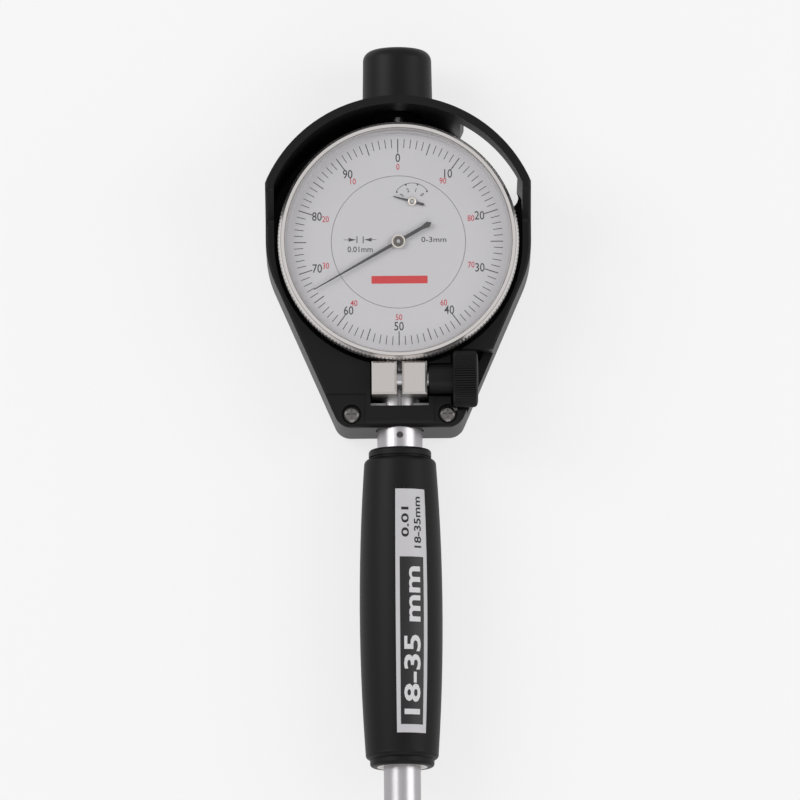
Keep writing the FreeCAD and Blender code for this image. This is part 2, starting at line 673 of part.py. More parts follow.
def clamp_screw():
    """The threaded stud of the clamp, moulded into the knob."""
    start = -COLLAR_HALF_WIDTH + CLAMP_SCREW_INSET
    end = KNOB_START_X + KNOB_SOCKET_DEPTH
    return turned_x([
        (0, start),
        (CLAMP_SCREW_RADIUS - 0.4, start),
        (CLAMP_SCREW_RADIUS, start + 0.4),
        (CLAMP_SCREW_RADIUS, end),
        (0, end),
    ], COLLAR_CENTRE_Y, CLAMP_SCREW_Z)


def clamp_knob():
    """The grooved knob with its plain hub."""
    end = KNOB_HEAD_X + KNOB_LENGTH
    hub = bar_x(KNOB_START_X, KNOB_HEAD_X + 1, COLLAR_CENTRE_Y, CLAMP_SCREW_Z, KNOB_HUB_RADIUS)
    head = bar_x(KNOB_HEAD_X, end, COLLAR_CENTRE_Y, CLAMP_SCREW_Z, KNOB_RADIUS)
    rims = [e for e in head.Edges if e.Closed and e.BoundBox.XMin > end - 0.01]
    head = head.makeFillet(KNOB_ROUND, rims)
    step = 2 * math.pi / KNOB_GROOVES
    floor = KNOB_RADIUS - KNOB_GROOVE_DEPTH
    outline = []
    for index in range(KNOB_GROOVES):
        middle = index * step
        for radius, part in ((KNOB_RADIUS + 0.05, -0.42), (floor, -0.12), (floor, 0.12),
                             (KNOB_RADIUS + 0.05, 0.42)):
            angle = middle + part * step
            outline.append(Vector(KNOB_HEAD_X - 1, COLLAR_CENTRE_Y + radius * math.cos(angle),
                                  CLAMP_SCREW_Z + radius * math.sin(angle)))
    outline.append(outline[0])
    star = Part.Face(Part.makePolygon(outline)).extrude(Vector(KNOB_LENGTH + 2, 0, 0))
    knob = hub.fuse(head.common(star))
    socket = bar_x(KNOB_START_X - 1, KNOB_START_X + KNOB_SOCKET_DEPTH, COLLAR_CENTRE_Y, CLAMP_SCREW_Z,
                   CLAMP_SCREW_RADIUS)
    return knob.cut(socket)


# -------------------------------------------------------------------- handle
def handle_grip():
    """The barrel-shaped grip, turned about the instrument's axis."""
    ring_low = HANDLE_TOP_Y - HANDLE_END_RING
    body_top = ring_low - HANDLE_GROOVE_WIDTH
    body_low = HANDLE_BOTTOM_Y + HANDLE_END_RING
    middle_y = (body_top + body_low) / 2
    axis = Vector(0, 0, AXIS_Z)

    def at(radius, y):
        return axis + Vector(radius, y, 0)

    ring_round = 0.8
    top_start = at(HANDLE_TOP_RADIUS, body_top - HANDLE_ROUND)
    low_end = at(HANDLE_LOW_RADIUS, body_low + HANDLE_ROUND)
    quarter = 1 - math.sqrt(0.5)
    edges = [
        Part.LineSegment(at(0, HANDLE_TOP_Y), at(HANDLE_TOP_RING_RADIUS - ring_round, HANDLE_TOP_Y)),
        Part.Arc(at(HANDLE_TOP_RING_RADIUS - ring_round, HANDLE_TOP_Y),
                 at(HANDLE_TOP_RING_RADIUS - ring_round * quarter, HANDLE_TOP_Y - ring_round * quarter),
                 at(HANDLE_TOP_RING_RADIUS, HANDLE_TOP_Y - ring_round)),
        Part.LineSegment(at(HANDLE_TOP_RING_RADIUS, HANDLE_TOP_Y - ring_round),
                         at(HANDLE_TOP_RING_RADIUS, ring_low)),
        Part.LineSegment(at(HANDLE_TOP_RING_RADIUS, ring_low), at(HANDLE_GROOVE_RADIUS, ring_low)),
        Part.LineSegment(at(HANDLE_GROOVE_RADIUS, ring_low), at(HANDLE_GROOVE_RADIUS, body_top)),
        Part.LineSegment(at(HANDLE_GROOVE_RADIUS, body_top),
                         at(HANDLE_TOP_RADIUS - HANDLE_ROUND, body_top)),
        Part.Arc(at(HANDLE_TOP_RADIUS - HANDLE_ROUND, body_top),
                 at(HANDLE_TOP_RADIUS - HANDLE_ROUND * quarter, body_top - HANDLE_ROUND * quarter),
                 top_start),
        Part.Arc(top_start, at(HANDLE_MIDDLE_RADIUS, middle_y), low_end),
        Part.Arc(low_end,
                 at(HANDLE_LOW_RADIUS - HANDLE_ROUND * quarter * 0.7,
                    body_low + HANDLE_ROUND * quarter),
                 at(HANDLE_BOTTOM_RING_RADIUS, body_low)),
        Part.LineSegment(at(HANDLE_BOTTOM_RING_RADIUS, body_low),
                         at(HANDLE_BOTTOM_RING_RADIUS, HANDLE_BOTTOM_Y + ring_round)),
        Part.Arc(at(HANDLE_BOTTOM_RING_RADIUS, HANDLE_BOTTOM_Y + ring_round),
                 at(HANDLE_BOTTOM_RING_RADIUS - ring_round * quarter,
                    HANDLE_BOTTOM_Y + ring_round * quarter),
                 at(HANDLE_BOTTOM_RING_RADIUS - ring_round, HANDLE_BOTTOM_Y)),
        Part.LineSegment(at(HANDLE_BOTTOM_RING_RADIUS - ring_round, HANDLE_BOTTOM_Y),
                         at(0, HANDLE_BOTTOM_Y)),
        Part.LineSegment(at(0, HANDLE_BOTTOM_Y), at(0, HANDLE_TOP_Y)),
    ]
    face = Part.Face(Part.Wire([edge.toShape() for edge in edges]))
    grip = face.revolve(axis, Vector(0, 1, 0), 360)
    grip = grip.cut(bar_y(NECK_END_Y - SEAT_GAP, HANDLE_TOP_Y + 1, NECK_RADIUS + SEAT_GAP))
    grip = grip.cut(bar_y(HANDLE_BOTTOM_Y - 1, HANDLE_TOP_Y, TUBE_RADIUS + SEAT_GAP))
    return grip.cut(bar_y(HANDLE_BOTTOM_Y - 1, HANDLE_BOTTOM_Y + FERRULE_LENGTH, FERRULE_RADIUS + SEAT_GAP))


def ferrule():
    """The metal ring in the handle's lower end."""
    top = HANDLE_BOTTOM_Y + FERRULE_LENGTH
    inner = TUBE_RADIUS + SEAT_GAP
    return turned_y([
        (inner, top),
        (FERRULE_RADIUS, top),
        (FERRULE_RADIUS, HANDLE_BOTTOM_Y),
        (inner + FERRULE_CHAMFER, HANDLE_BOTTOM_Y),
        (inner, HANDLE_BOTTOM_Y + FERRULE_CHAMFER),
    ])


# ------------------------------------------------------- tube, rod and bushes
def sleeve(y0, y1, outer, inner):
    """A plain bush on the instrument's axis."""
    return bar_y(y0, y1, outer).cut(bar_y(min(y0, y1) - 1, max(y0, y1) + 1, inner))


def push_rod():
    """The rod that carries the plunger's travel up to the indicator."""
    rod = bar_y(ROD_END_Y, ROD_TOP_Y, ROD_RADIUS)
    collar = bar_y(ROD_COLLAR_Y, ROD_COLLAR_Y + ROD_COLLAR_LENGTH, ROD_COLLAR_RADIUS)
    return rod.fuse(collar)


# ---------------------------------------------------------------------- head
def head_body():
    """The head: socket for the tube, slot for the lever, holes for its parts."""
    body = turned_y([
        (0, HEAD_TOP_Y),
        (HEAD_RADIUS - 1.6, HEAD_TOP_Y),
        (HEAD_RADIUS, HEAD_TOP_Y - 1.6),
        (HEAD_RADIUS, HEAD_BOTTOM_Y),
        (0, HEAD_BOTTOM_Y),
    ])
    low, high = HEAD_BOTTOM_Y - 1, HEAD_AXIS_Y + BRIDGE_HALF_HEIGHT + FREE_GAP
    body = body.cut(block(-FAR, -HEAD_LEFT_FLAT, low, high, 0, FAR))
    body = body.cut(block(HEAD_RIGHT_FLAT, FAR, HEAD_AXIS_Y - 4.4, HEAD_AXIS_Y + 4.4, 0, FAR))
    body = body.cut(bar_y(TUBE_END_Y, HEAD_TOP_Y + 1, TUBE_RADIUS + SEAT_GAP))
    body = body.cut(bar_y(HEAD_SLOT_TOP_Y - 1, TUBE_END_Y + 1, ROD_RADIUS + RUN_GAP))
    half = HEAD_SLOT_WIDTH / 2
    body = body.cut(block(HEAD_SLOT_LEFT, HEAD_SLOT_RIGHT, HEAD_BOTTOM_Y - 1, HEAD_SLOT_TOP_Y,
                          AXIS_Z - half, AXIS_Z + half))
    collar_room = PLUNGER_COLLAR_RADIUS + RUN_GAP
    body = body.cut(bar_x(HEAD_SLOT_LEFT, 0, HEAD_AXIS_Y, AXIS_Z, collar_room))
    body = body.cut(bar_x(-FAR, 0, HEAD_AXIS_Y, AXIS_Z, PLUNGER_BUSH_SPIGOT + SEAT_GAP))
    body = body.cut(bar_x(ANVIL_START - 0.3, FAR, HEAD_AXIS_Y, AXIS_Z, ANVIL_THREAD_RADIUS + SEAT_GAP))
    body = body.cut(disc(LEVER_PIVOT_X, LEVER_PIVOT_Y, AXIS_Z - LEVER_PIN_LENGTH / 2,
                         AXIS_Z + LEVER_PIN_LENGTH, LEVER_PIN_RADIUS + SEAT_GAP))
    for z in bridge_screw_heights():
        body = body.cut(bar_x(-FAR, BRIDGE_SCREW_END + FREE_GAP, HEAD_AXIS_Y, z,
                              BRIDGE_SCREW_RADIUS + SEAT_GAP))
        body = body.cut(bar_x(-FAR, SPRING_POCKET_DEPTH - HEAD_LEFT_FLAT, HEAD_AXIS_Y, z,
                              SPRING_POCKET_RADIUS))
    return body.cut(bar_y(HEAD_BOTTOM_Y - 1, HEAD_BOTTOM_Y + 2.7, END_CAP_SCREW_RADIUS + SEAT_GAP,
                          x=END_CAP_SCREW_X))


def bridge_screw_heights():
    """Where the bridge's two guide screws sit, on either side of the plunger."""
    return AXIS_Z - BRIDGE_SCREW_SPREAD, AXIS_Z + BRIDGE_SCREW_SPREAD


def head_end_cap():
    """The cap that closes the lever's slot."""
    bottom = HEAD_BOTTOM_Y - END_CAP_LENGTH
    cap = turned_y([
        (0, HEAD_BOTTOM_Y),
        (HEAD_RADIUS, HEAD_BOTTOM_Y),
        (HEAD_RADIUS, bottom + 1.4),
        (HEAD_RADIUS - 1.4, bottom),
        (0, bottom),
    ])
    cap = cap.cut(block(-FAR, -HEAD_LEFT_FLAT, bottom - 1, HEAD_BOTTOM_Y + 1, 0, FAR))
    cap = cap.cut(bar_y(bottom - 1, HEAD_BOTTOM_Y + 1, END_CAP_SCREW_RADIUS + 0.1, x=END_CAP_SCREW_X))
    return cap.cut(bar_y(bottom - 1, bottom + 1.2, END_CAP_SCREW_HEAD + 0.1, x=END_CAP_SCREW_X))


def end_cap_screw():
    """The slotted screw of the end cap."""
    bottom = HEAD_BOTTOM_Y - END_CAP_LENGTH
    head = bar_y(bottom + 0.1, bottom + 1.2, END_CAP_SCREW_HEAD, x=END_CAP_SCREW_X)
    shank = bar_y(bottom + 1.2, HEAD_BOTTOM_Y + 2.4, END_CAP_SCREW_RADIUS, x=END_CAP_SCREW_X)
    slot = block(END_CAP_SCREW_X - 0.25, END_CAP_SCREW_X + 0.25, bottom, bottom + 0.6, 0, FAR)
    return head.fuse(shank).cut(slot)


def bell_crank():
    """The lever that turns the plunger's travel into the rod's."""
    z0 = AXIS_Z - LEVER_THICKNESS / 2
    z1 = AXIS_Z + LEVER_THICKNESS / 2
    half = LEVER_WIDTH / 2
    px, py = LEVER_PIVOT_X, LEVER_PIVOT_Y
    lever = disc(px, py, z0, z1, LEVER_HUB_RADIUS)
    lever = lever.fuse(block(px, px + LEVER_ARM, py - half, py + half, z0, z1))
    lever = lever.fuse(block(px - half, px + half, py - LEVER_ARM, py, z0, z1))
    lever = lever.fuse(disc(px + LEVER_ARM, py, z0, z1, LEVER_TIP_RADIUS))
    lever = lever.fuse(disc(px, py - LEVER_ARM, z0, z1, LEVER_TIP_RADIUS))
    return lever.cut(disc(px, py, z0 - 1, z1 + 1, LEVER_PIN_RADIUS + RUN_GAP)).removeSplitter()


def measuring_plunger():
    """The sprung feeler that meets the bore's wall."""
    collar_end = PLUNGER_COLLAR_START + PLUNGER_COLLAR_LENGTH
    ball_seat = PLUNGER_TIP_X + PLUNGER_BALL_RADIUS
    return turned_x([
        (0, ball_seat),
        (PLUNGER_BALL_RADIUS, ball_seat),
        (PLUNGER_RADIUS, ball_seat + 0.4),
        (PLUNGER_RADIUS, PLUNGER_COLLAR_START),
        (PLUNGER_COLLAR_RADIUS, PLUNGER_COLLAR_START),
        (PLUNGER_COLLAR_RADIUS, collar_end),
        (PLUNGER_NOSE_RADIUS, collar_end),
        (PLUNGER_NOSE_RADIUS, PLUNGER_NOSE_X),
        (0, PLUNGER_NOSE_X),
    ], HEAD_AXIS_Y, AXIS_Z)


def domed_tip(base_x, tip_x, radius):
    """A hard domed tip, flat on its seat at base_x."""
    height = abs(tip_x - base_x)
    centre_x = base_x
    ball = Part.makeSphere(radius, Vector(centre_x, HEAD_AXIS_Y, AXIS_Z))
    side = 1 if tip_x > base_x else -1
    keep = block(base_x, base_x + side * (height + 1), HEAD_AXIS_Y - 5, HEAD_AXIS_Y + 5, 0, FAR)
    return ball.common(keep)


def plunger_bush():
    """The bush that guides the plunger."""
    inner = PLUNGER_RADIUS + RUN_GAP
    return turned_x([
        (inner, HEAD_SLOT_LEFT),
        (PLUNGER_BUSH_SPIGOT, HEAD_SLOT_LEFT),
        (PLUNGER_BUSH_SPIGOT, -HEAD_LEFT_FLAT),
        (PLUNGER_BUSH_RADIUS, -HEAD_LEFT_FLAT),
        (PLUNGER_BUSH_RADIUS, PLUNGER_BUSH_END),
        (inner, PLUNGER_BUSH_END),
    ], HEAD_AXIS_Y, AXIS_Z)


def centring_bridge():
    """The sprung bridge that centres the head across a bore."""
    front = BRIDGE_BACK - BRIDGE_THICKNESS
    corners = [
        (Vector(BRIDGE_BACK, HEAD_AXIS_Y - BRIDGE_HALF_HEIGHT, AXIS_Z - BRIDGE_HALF_WIDTH), 1.5),
        (Vector(BRIDGE_BACK, HEAD_AXIS_Y + BRIDGE_HALF_HEIGHT, AXIS_Z - BRIDGE_HALF_WIDTH), 1.5),
        (Vector(BRIDGE_BACK, HEAD_AXIS_Y + BRIDGE_HALF_HEIGHT, AXIS_Z + BRIDGE_HALF_WIDTH), 1.5),
        (Vector(BRIDGE_BACK, HEAD_AXIS_Y - BRIDGE_HALF_HEIGHT, AXIS_Z + BRIDGE_HALF_WIDTH), 1.5),
    ]
    plate = Part.Face(rounded_wire(corners)).extrude(Vector(BRIDGE_FOOT_X - BRIDGE_BACK, 0, 0))
    middle = BRIDGE_HALF_WIDTH - BRIDGE_FOOT_WIDTH
    plate = plate.cut(block(-FAR, front, HEAD_AXIS_Y - FAR, HEAD_AXIS_Y + FAR,
                            AXIS_Z - middle, AXIS_Z + middle))
    plate = plate.cut(bar_x(-FAR, 0, HEAD_AXIS_Y, AXIS_Z, PLUNGER_BUSH_RADIUS + 0.15))
    floor_x = front + BRIDGE_SCREW_HEAD + RUN_GAP
    for z in bridge_screw_heights():
        plate = plate.cut(bar_x(-FAR, 0, HEAD_AXIS_Y, z, BRIDGE_SCREW_RADIUS + RUN_GAP))
        plate = plate.cut(bar_x(-FAR, floor_x, HEAD_AXIS_Y, z, BRIDGE_SCREW_HEAD_RADIUS + RUN_GAP))
    return plate


def bridge_guide_screws():
    """Two shouldered screws in the head that guide and hold the bridge."""
    front = BRIDGE_BACK - BRIDGE_THICKNESS
    head_end = front + BRIDGE_SCREW_HEAD
    screws = []
    for z in bridge_screw_heights():
        screw = bar_x(front, head_end, HEAD_AXIS_Y, z, BRIDGE_SCREW_HEAD_RADIUS)
        screw = screw.fuse(bar_x(head_end, BRIDGE_SCREW_END, HEAD_AXIS_Y, z, BRIDGE_SCREW_RADIUS))
        slot = block(front - 1, front + 0.3, HEAD_AXIS_Y - 3, HEAD_AXIS_Y + 3, z - 0.15, z + 0.15)
        screws.append(screw.cut(slot))
    return Part.makeCompound(screws)


def bridge_springs():
    """Two springs that push the bridge out."""
    floor_x = SPRING_POCKET_DEPTH - HEAD_LEFT_FLAT
    length = floor_x - BRIDGE_BACK
    springs = []
    for z in bridge_screw_heights():
        springs.append(coil(Vector(BRIDGE_BACK + TOUCH_GAP, HEAD_AXIS_Y, z), Vector(1, 0, 0),
                            BRIDGE_SPRING_RADIUS, BRIDGE_SPRING_WIRE, length - 2 * TOUCH_GAP,
                            BRIDGE_SPRING_TURNS))
    return Part.makeCompound(springs)


def anvil():
    """The exchangeable fixed feeler opposite the plunger."""
    return turned_x([
        (0, ANVIL_START),
        (ANVIL_THREAD_RADIUS, ANVIL_START),
        (ANVIL_THREAD_RADIUS, ANVIL_SHOULDER),
        (ANVIL_RADIUS, ANVIL_SHOULDER),
        (ANVIL_RADIUS, ANVIL_FACE - 0.4),
        (ANVIL_RADIUS - 1.0, ANVIL_FACE),
        (0, ANVIL_FACE),
    ], HEAD_AXIS_Y, AXIS_Z)


def anvil_lock_nut():
    """The thin nut that locks the anvil."""
    nut = hexagon_prism(HEAD_RIGHT_FLAT, HEAD_RIGHT_FLAT + NUT_THICKNESS, HEAD_AXIS_Y, AXIS_Z,
                        NUT_ACROSS_FLATS)
    return nut.cut(bar_x(0, FAR, HEAD_AXIS_Y, AXIS_Z, ANVIL_THREAD_RADIUS + SEAT_GAP))


# ----------------------------------------------------------------- indicator
def indicator_case():
    """The turned case, closed at the front by the dial's support."""
    groove_z = BEZEL_SKIRT_Z + 0.35
    case = turned_z([
        (0, CASE_FRONT_Z - CASE_FRONT_WALL),
        (CASE_RADIUS - CASE_WALL, CASE_FRONT_Z - CASE_FRONT_WALL),
        (CASE_RADIUS - CASE_WALL, CASE_BACK_Z),
        (CASE_RADIUS, CASE_BACK_Z),
        (CASE_RADIUS, CASE_FRONT_Z),
        (SPIGOT_RADIUS, CASE_FRONT_Z),
        (SPIGOT_RADIUS, groove_z),
        (SPIGOT_RADIUS - 0.3, groove_z),
        (SPIGOT_RADIUS - 0.3, groove_z + BEZEL_GROOVE),
        (SPIGOT_RADIUS, groove_z + BEZEL_GROOVE),
        (SPIGOT_RADIUS, SPIGOT_FRONT_Z),
        (SPIGOT_RADIUS - 1.6, SPIGOT_FRONT_Z),
        (SPIGOT_RADIUS - 1.6, CASE_FRONT_Z),
        (DIAL_FOOT_RADIUS, CASE_FRONT_Z),
        (DIAL_FOOT_RADIUS, DIAL_FRONT_Z - DIAL_THICKNESS),
        (0, DIAL_FRONT_Z - DIAL_THICKNESS),
    ])
    case = case.cut(bar_y(-CASE_RADIUS - 1, 0, STEM_RADIUS + SEAT_GAP))
    case = case.cut(bar_y(0, CASE_RADIUS + 1, TOP_BUSH_RADIUS + SEAT_GAP))
    arbor_room = ARBOR_RADIUS + 0.4
    for place in (Vector(0, 0, 0), COUNTER_AT):
        case = case.cut(disc(place.x, place.y, 0, FAR, arbor_room))
    for angle in COVER_SCREW_ANGLES:
        place = polar(COVER_SCREW_CIRCLE, angle)
        lug = disc(place.x, place.y, CASE_BACK_Z, CASE_BACK_Z + COVER_SCREW_LENGTH + 1.0, 2.0)
        case = case.fuse(lug.common(disc(0, 0, 0, FAR, CASE_RADIUS)))
        case = case.cut(disc(place.x, place.y, 0, CASE_BACK_Z + COVER_SCREW_LENGTH + 0.2, COVER_SCREW_RADIUS + SEAT_GAP))
    return case


def stem():
    """The clamping stem, pressed into the case."""
    return sleeve(STEM_END_Y, STEM_START_Y, STEM_RADIUS, SPINDLE_RADIUS + RUN_GAP)


def back_cover():
    """The case's back cover."""
    cover = disc(0, 0, CASE_BACK_Z - BACK_COVER_THICKNESS, CASE_BACK_Z, CASE_RADIUS)
    for angle in COVER_SCREW_ANGLES:
        place = polar(COVER_SCREW_CIRCLE, angle)
        cover = cover.cut(disc(place.x, place.y, 0, 10, COVER_SCREW_RADIUS + 0.1))
        cover = cover.cut(disc(place.x, place.y, 0, CASE_BACK_Z - COVER_SCREW_HEAD_HEIGHT,
                               COVER_SCREW_HEAD + 0.1))
    return cover


def back_cover_screws():
    """Four screws that hold the back cover."""
    screws = []
    for angle in COVER_SCREW_ANGLES:
        place = polar(COVER_SCREW_CIRCLE, angle)
        head_z = CASE_BACK_Z - COVER_SCREW_HEAD_HEIGHT
        bottom = CASE_BACK_Z - BACK_COVER_THICKNESS + 0.2
        screw = disc(place.x, place.y, bottom, head_z, COVER_SCREW_HEAD)
        screw = screw.fuse(disc(place.x, place.y, head_z, CASE_BACK_Z + COVER_SCREW_LENGTH,
                                COVER_SCREW_RADIUS))
        slot = block(place.x - 0.2, place.x + 0.2, place.y - COVER_SCREW_HEAD,
                     place.y + COVER_SCREW_HEAD, bottom - 1, bottom + 0.4)
        screws.append(screw.cut(slot))
    return Part.makeCompound(screws)


def bezel():
    """The turning bezel: knurled band, bright face, seats for dial and crystal."""
    groove_z = BEZEL_SKIRT_Z + 0.35
    run = SPIGOT_RADIUS + RUN_GAP
    return turned_z([
        (run, BEZEL_SKIRT_Z),
        (BEZEL_RADIUS - 0.9, BEZEL_SKIRT_Z),
        (BEZEL_RADIUS - 0.5, BEZEL_SKIRT_Z + 0.4),
        (BEZEL_RADIUS, BEZEL_SKIRT_Z + 0.7),
        (BEZEL_RADIUS, BEZEL_FRONT_Z - BEZEL_FRONT_CHAMFER - 0.5),
        (BEZEL_RADIUS - 0.35, BEZEL_FRONT_Z - BEZEL_FRONT_CHAMFER + 0.1),
        (BEZEL_RADIUS - 0.75, BEZEL_FRONT_Z),
        (BEZEL_LIP_RADIUS + 0.35, BEZEL_FRONT_Z),
        (BEZEL_LIP_RADIUS, BEZEL_FRONT_Z - 0.6),
        (BEZEL_LIP_RADIUS, BEZEL_LIP_Z),
        (BEZEL_SEAT_RADIUS, BEZEL_LIP_Z),
        (BEZEL_SEAT_RADIUS, BEZEL_LEDGE_Z),
        (run, BEZEL_LEDGE_Z),
        (run, groove_z + BEZEL_GROOVE),
        (run + 0.35, groove_z + BEZEL_GROOVE),
        (run + 0.35, groove_z),
        (run, groove_z),
    ])


def bezel_spring():
    """The split wire that holds the bezel on the case and gives it friction."""
    groove_z = BEZEL_SKIRT_Z + 0.35
    wire = turned_z([
        (SPIGOT_RADIUS - 0.25, groove_z + TOUCH_GAP),
        (SPIGOT_RADIUS + 0.3, groove_z + TOUCH_GAP),
        (SPIGOT_RADIUS + 0.3, groove_z + BEZEL_GROOVE - TOUCH_GAP),
        (SPIGOT_RADIUS - 0.25, groove_z + BEZEL_GROOVE - TOUCH_GAP),
    ])
    return wire.cut(block(-3, 3, 0, 2 * BEZEL_RADIUS, 0, FAR))


def dial_ring():
    """The outer dial with the hundred divisions, carried by the bezel."""
    back = DIAL_FRONT_Z - DIAL_THICKNESS
    outer = BEZEL_SEAT_RADIUS - SEAT_GAP
    spacer = BEZEL_SEAT_RADIUS - 0.9
    return turned_z([
        (DIAL_SEAM_RADIUS + 0.06, back),
        (outer, back),
        (outer, BEZEL_LIP_Z - CRYSTAL_THICKNESS - TOUCH_GAP),
        (spacer, BEZEL_LIP_Z - CRYSTAL_THICKNESS - TOUCH_GAP),
        (spacer, DIAL_FRONT_Z),
        (DIAL_SEAM_RADIUS + 0.06, DIAL_FRONT_Z),
    ])


def dial_centre():
    """The fixed centre of the dial."""
    plate = disc(0, 0, DIAL_FRONT_Z - DIAL_THICKNESS, DIAL_FRONT_Z, DIAL_SEAM_RADIUS - 0.06)
    plate = plate.cut(disc(0, 0, 0, FAR, ARBOR_RADIUS + 0.3))
    return plate.cut(disc(COUNTER_AT.x, COUNTER_AT.y, 0, FAR, ARBOR_RADIUS + 0.2))


def crystal():
    """The flat crystal under the bezel's lip."""
    top = BEZEL_LIP_Z - SEAT_GAP
    return disc(0, 0, top - CRYSTAL_THICKNESS, top, BEZEL_SEAT_RADIUS - SEAT_GAP)


def spindle():
    """The sliding spindle, with the rack cut along its left side."""
    rod = bar_y(SPINDLE_END_Y, SPINDLE_SHOULDER_Y, SPINDLE_RADIUS)
    rod = rod.fuse(bar_y(SPINDLE_SHOULDER_Y, SPINDLE_TOP_Y, SPINDLE_TOP_RADIUS))
    root_x = RACK_LINE_X + 1.1 * RACK_MODULE
    tip_x = RACK_LINE_X - 0.8 * RACK_MODULE
    low_y = RACK_AXIS_AT.y - RACK_PITCH * (RACK_TEETH - 1.5)
    high_y = RACK_AXIS_AT.y + RACK_PITCH * 2.5
    rod = rod.cut(block(-10, root_x, low_y, high_y, 0, FAR))
    teeth = []
    for index in range(RACK_TEETH):
        middle = RACK_AXIS_AT.y + RACK_PITCH * (2 - index)
        points = [
            Vector(root_x + RACK_DEPTH_BEHIND_ROOT, middle - 0.30 * RACK_PITCH, 0),
            Vector(root_x, middle - 0.30 * RACK_PITCH, 0),
            Vector(tip_x, middle - 0.13 * RACK_PITCH, 0),
            Vector(tip_x, middle + 0.13 * RACK_PITCH, 0),
            Vector(root_x, middle + 0.30 * RACK_PITCH, 0),
            Vector(root_x + RACK_DEPTH_BEHIND_ROOT, middle + 0.30 * RACK_PITCH, 0),
        ]
        points.append(points[0])
        tooth = Part.Face(Part.makePolygon(points))
        tooth.translate(Vector(0, 0, AXIS_Z - RACK_WIDTH / 2))
        teeth.append(tooth.extrude(Vector(0, 0, RACK_WIDTH)))
    rod = rod.fuse(teeth)
    thread = CONTACT_THREAD_RADIUS + SEAT_GAP
    rod = rod.cut(bar_y(SPINDLE_END_Y - 1, SPINDLE_END_Y + CONTACT_THREAD_LENGTH + 0.3, thread))
    pin = GUIDE_PIN_RADIUS + SEAT_GAP
    return rod.cut(disc(0, GUIDE_PIN_Y, 0, AXIS_Z, pin))


def contact_point():
    """The ball-ended contact point screwed into the spindle."""
    return turned_y([
        (0, SPINDLE_END_Y + CONTACT_THREAD_LENGTH),
        (CONTACT_THREAD_RADIUS, SPINDLE_END_Y + CONTACT_THREAD_LENGTH),
        (CONTACT_THREAD_RADIUS, SPINDLE_END_Y),
        (CONTACT_RADIUS, SPINDLE_END_Y),
        (CONTACT_RADIUS, CONTACT_END_Y + 2.0),
        (CONTACT_RADIUS * 0.75, CONTACT_END_Y + 0.8),
        (CONTACT_RADIUS * 0.35, CONTACT_END_Y),
        (0, CONTACT_END_Y),
    ])


def spindle_top_bush():
    """The flanged bush in the case's upper wall."""
    return turned_y([
        (SPINDLE_TOP_RADIUS + RUN_GAP, TOP_BUSH_INNER_Y),
        (TOP_BUSH_RADIUS, TOP_BUSH_INNER_Y),
        (TOP_BUSH_RADIUS, CASE_RADIUS),
        (TOP_BUSH_FLANGE, CASE_RADIUS),
        (TOP_BUSH_FLANGE, CASE_RADIUS + 1.2),
        (SPINDLE_TOP_RADIUS + RUN_GAP, CASE_RADIUS + 1.2),
    ])


def spindle_guide_pin():
    """The cross pin that keeps the spindle from turning."""
    return disc(0, GUIDE_PIN_Y, GUIDE_PIN_END_Z, AXIS_Z - 0.4, GUIDE_PIN_RADIUS)


def movement_base_plate():
    """The movement's back plate, slotted for the guide pin."""
    z1 = BASE_PLATE_Z + PLATE_THICKNESS
    plate = disc(0, 0, BASE_PLATE_Z, z1, PLATE_RADIUS)
    half = GUIDE_PIN_RADIUS + RUN_GAP
    plate = plate.cut(block(-half, half, GUIDE_PIN_Y - 1.5, GUIDE_PIN_Y + 3.6, 0, FAR))
    plate = plate.cut(disc(RACK_AXIS_AT.x, RACK_AXIS_AT.y, 0, FAR, ARBOR_RADIUS + RUN_GAP))
    for angle in PILLAR_ANGLES:
        place = polar(PILLAR_CIRCLE, angle)
        plate = plate.cut(disc(place.x, place.y, 0, FAR, PILLAR_RADIUS * 0.6 + SEAT_GAP))
    return plate


def movement_top_plate():
    """The movement's front plate."""
    z1 = TOP_PLATE_Z + PLATE_THICKNESS
    plate = disc(0, 0, TOP_PLATE_Z, z1, PLATE_RADIUS)
    for place in (Vector(0, 0, 0), COUNTER_AT, RACK_AXIS_AT):
        plate = plate.cut(disc(place.x, place.y, 0, FAR, ARBOR_RADIUS + RUN_GAP))
    for angle in PILLAR_ANGLES:
        place = polar(PILLAR_CIRCLE, angle)
        plate = plate.cut(disc(place.x, place.y, 0, FAR, PILLAR_RADIUS * 0.6 + SEAT_GAP))
    return plate


def movement_pillars():
    """Pillars between the plates, each with two spigots."""
    low = BASE_PLATE_Z + PLATE_THICKNESS
    spigot = PILLAR_RADIUS * 0.6
    pillars = []
    for angle in PILLAR_ANGLES:
        pillars.append(turned_z([
            (0, BASE_PLATE_Z - 0.4),
            (spigot, BASE_PLATE_Z - 0.4),
            (spigot, low),
            (PILLAR_RADIUS, low),
            (PILLAR_RADIUS, TOP_PLATE_Z),
            (spigot, TOP_PLATE_Z),
            (spigot, CASE_FRONT_Z - CASE_FRONT_WALL),
            (0, CASE_FRONT_Z - CASE_FRONT_WALL),
        ], polar(PILLAR_CIRCLE, angle)))
    return Part.makeCompound(pillars)


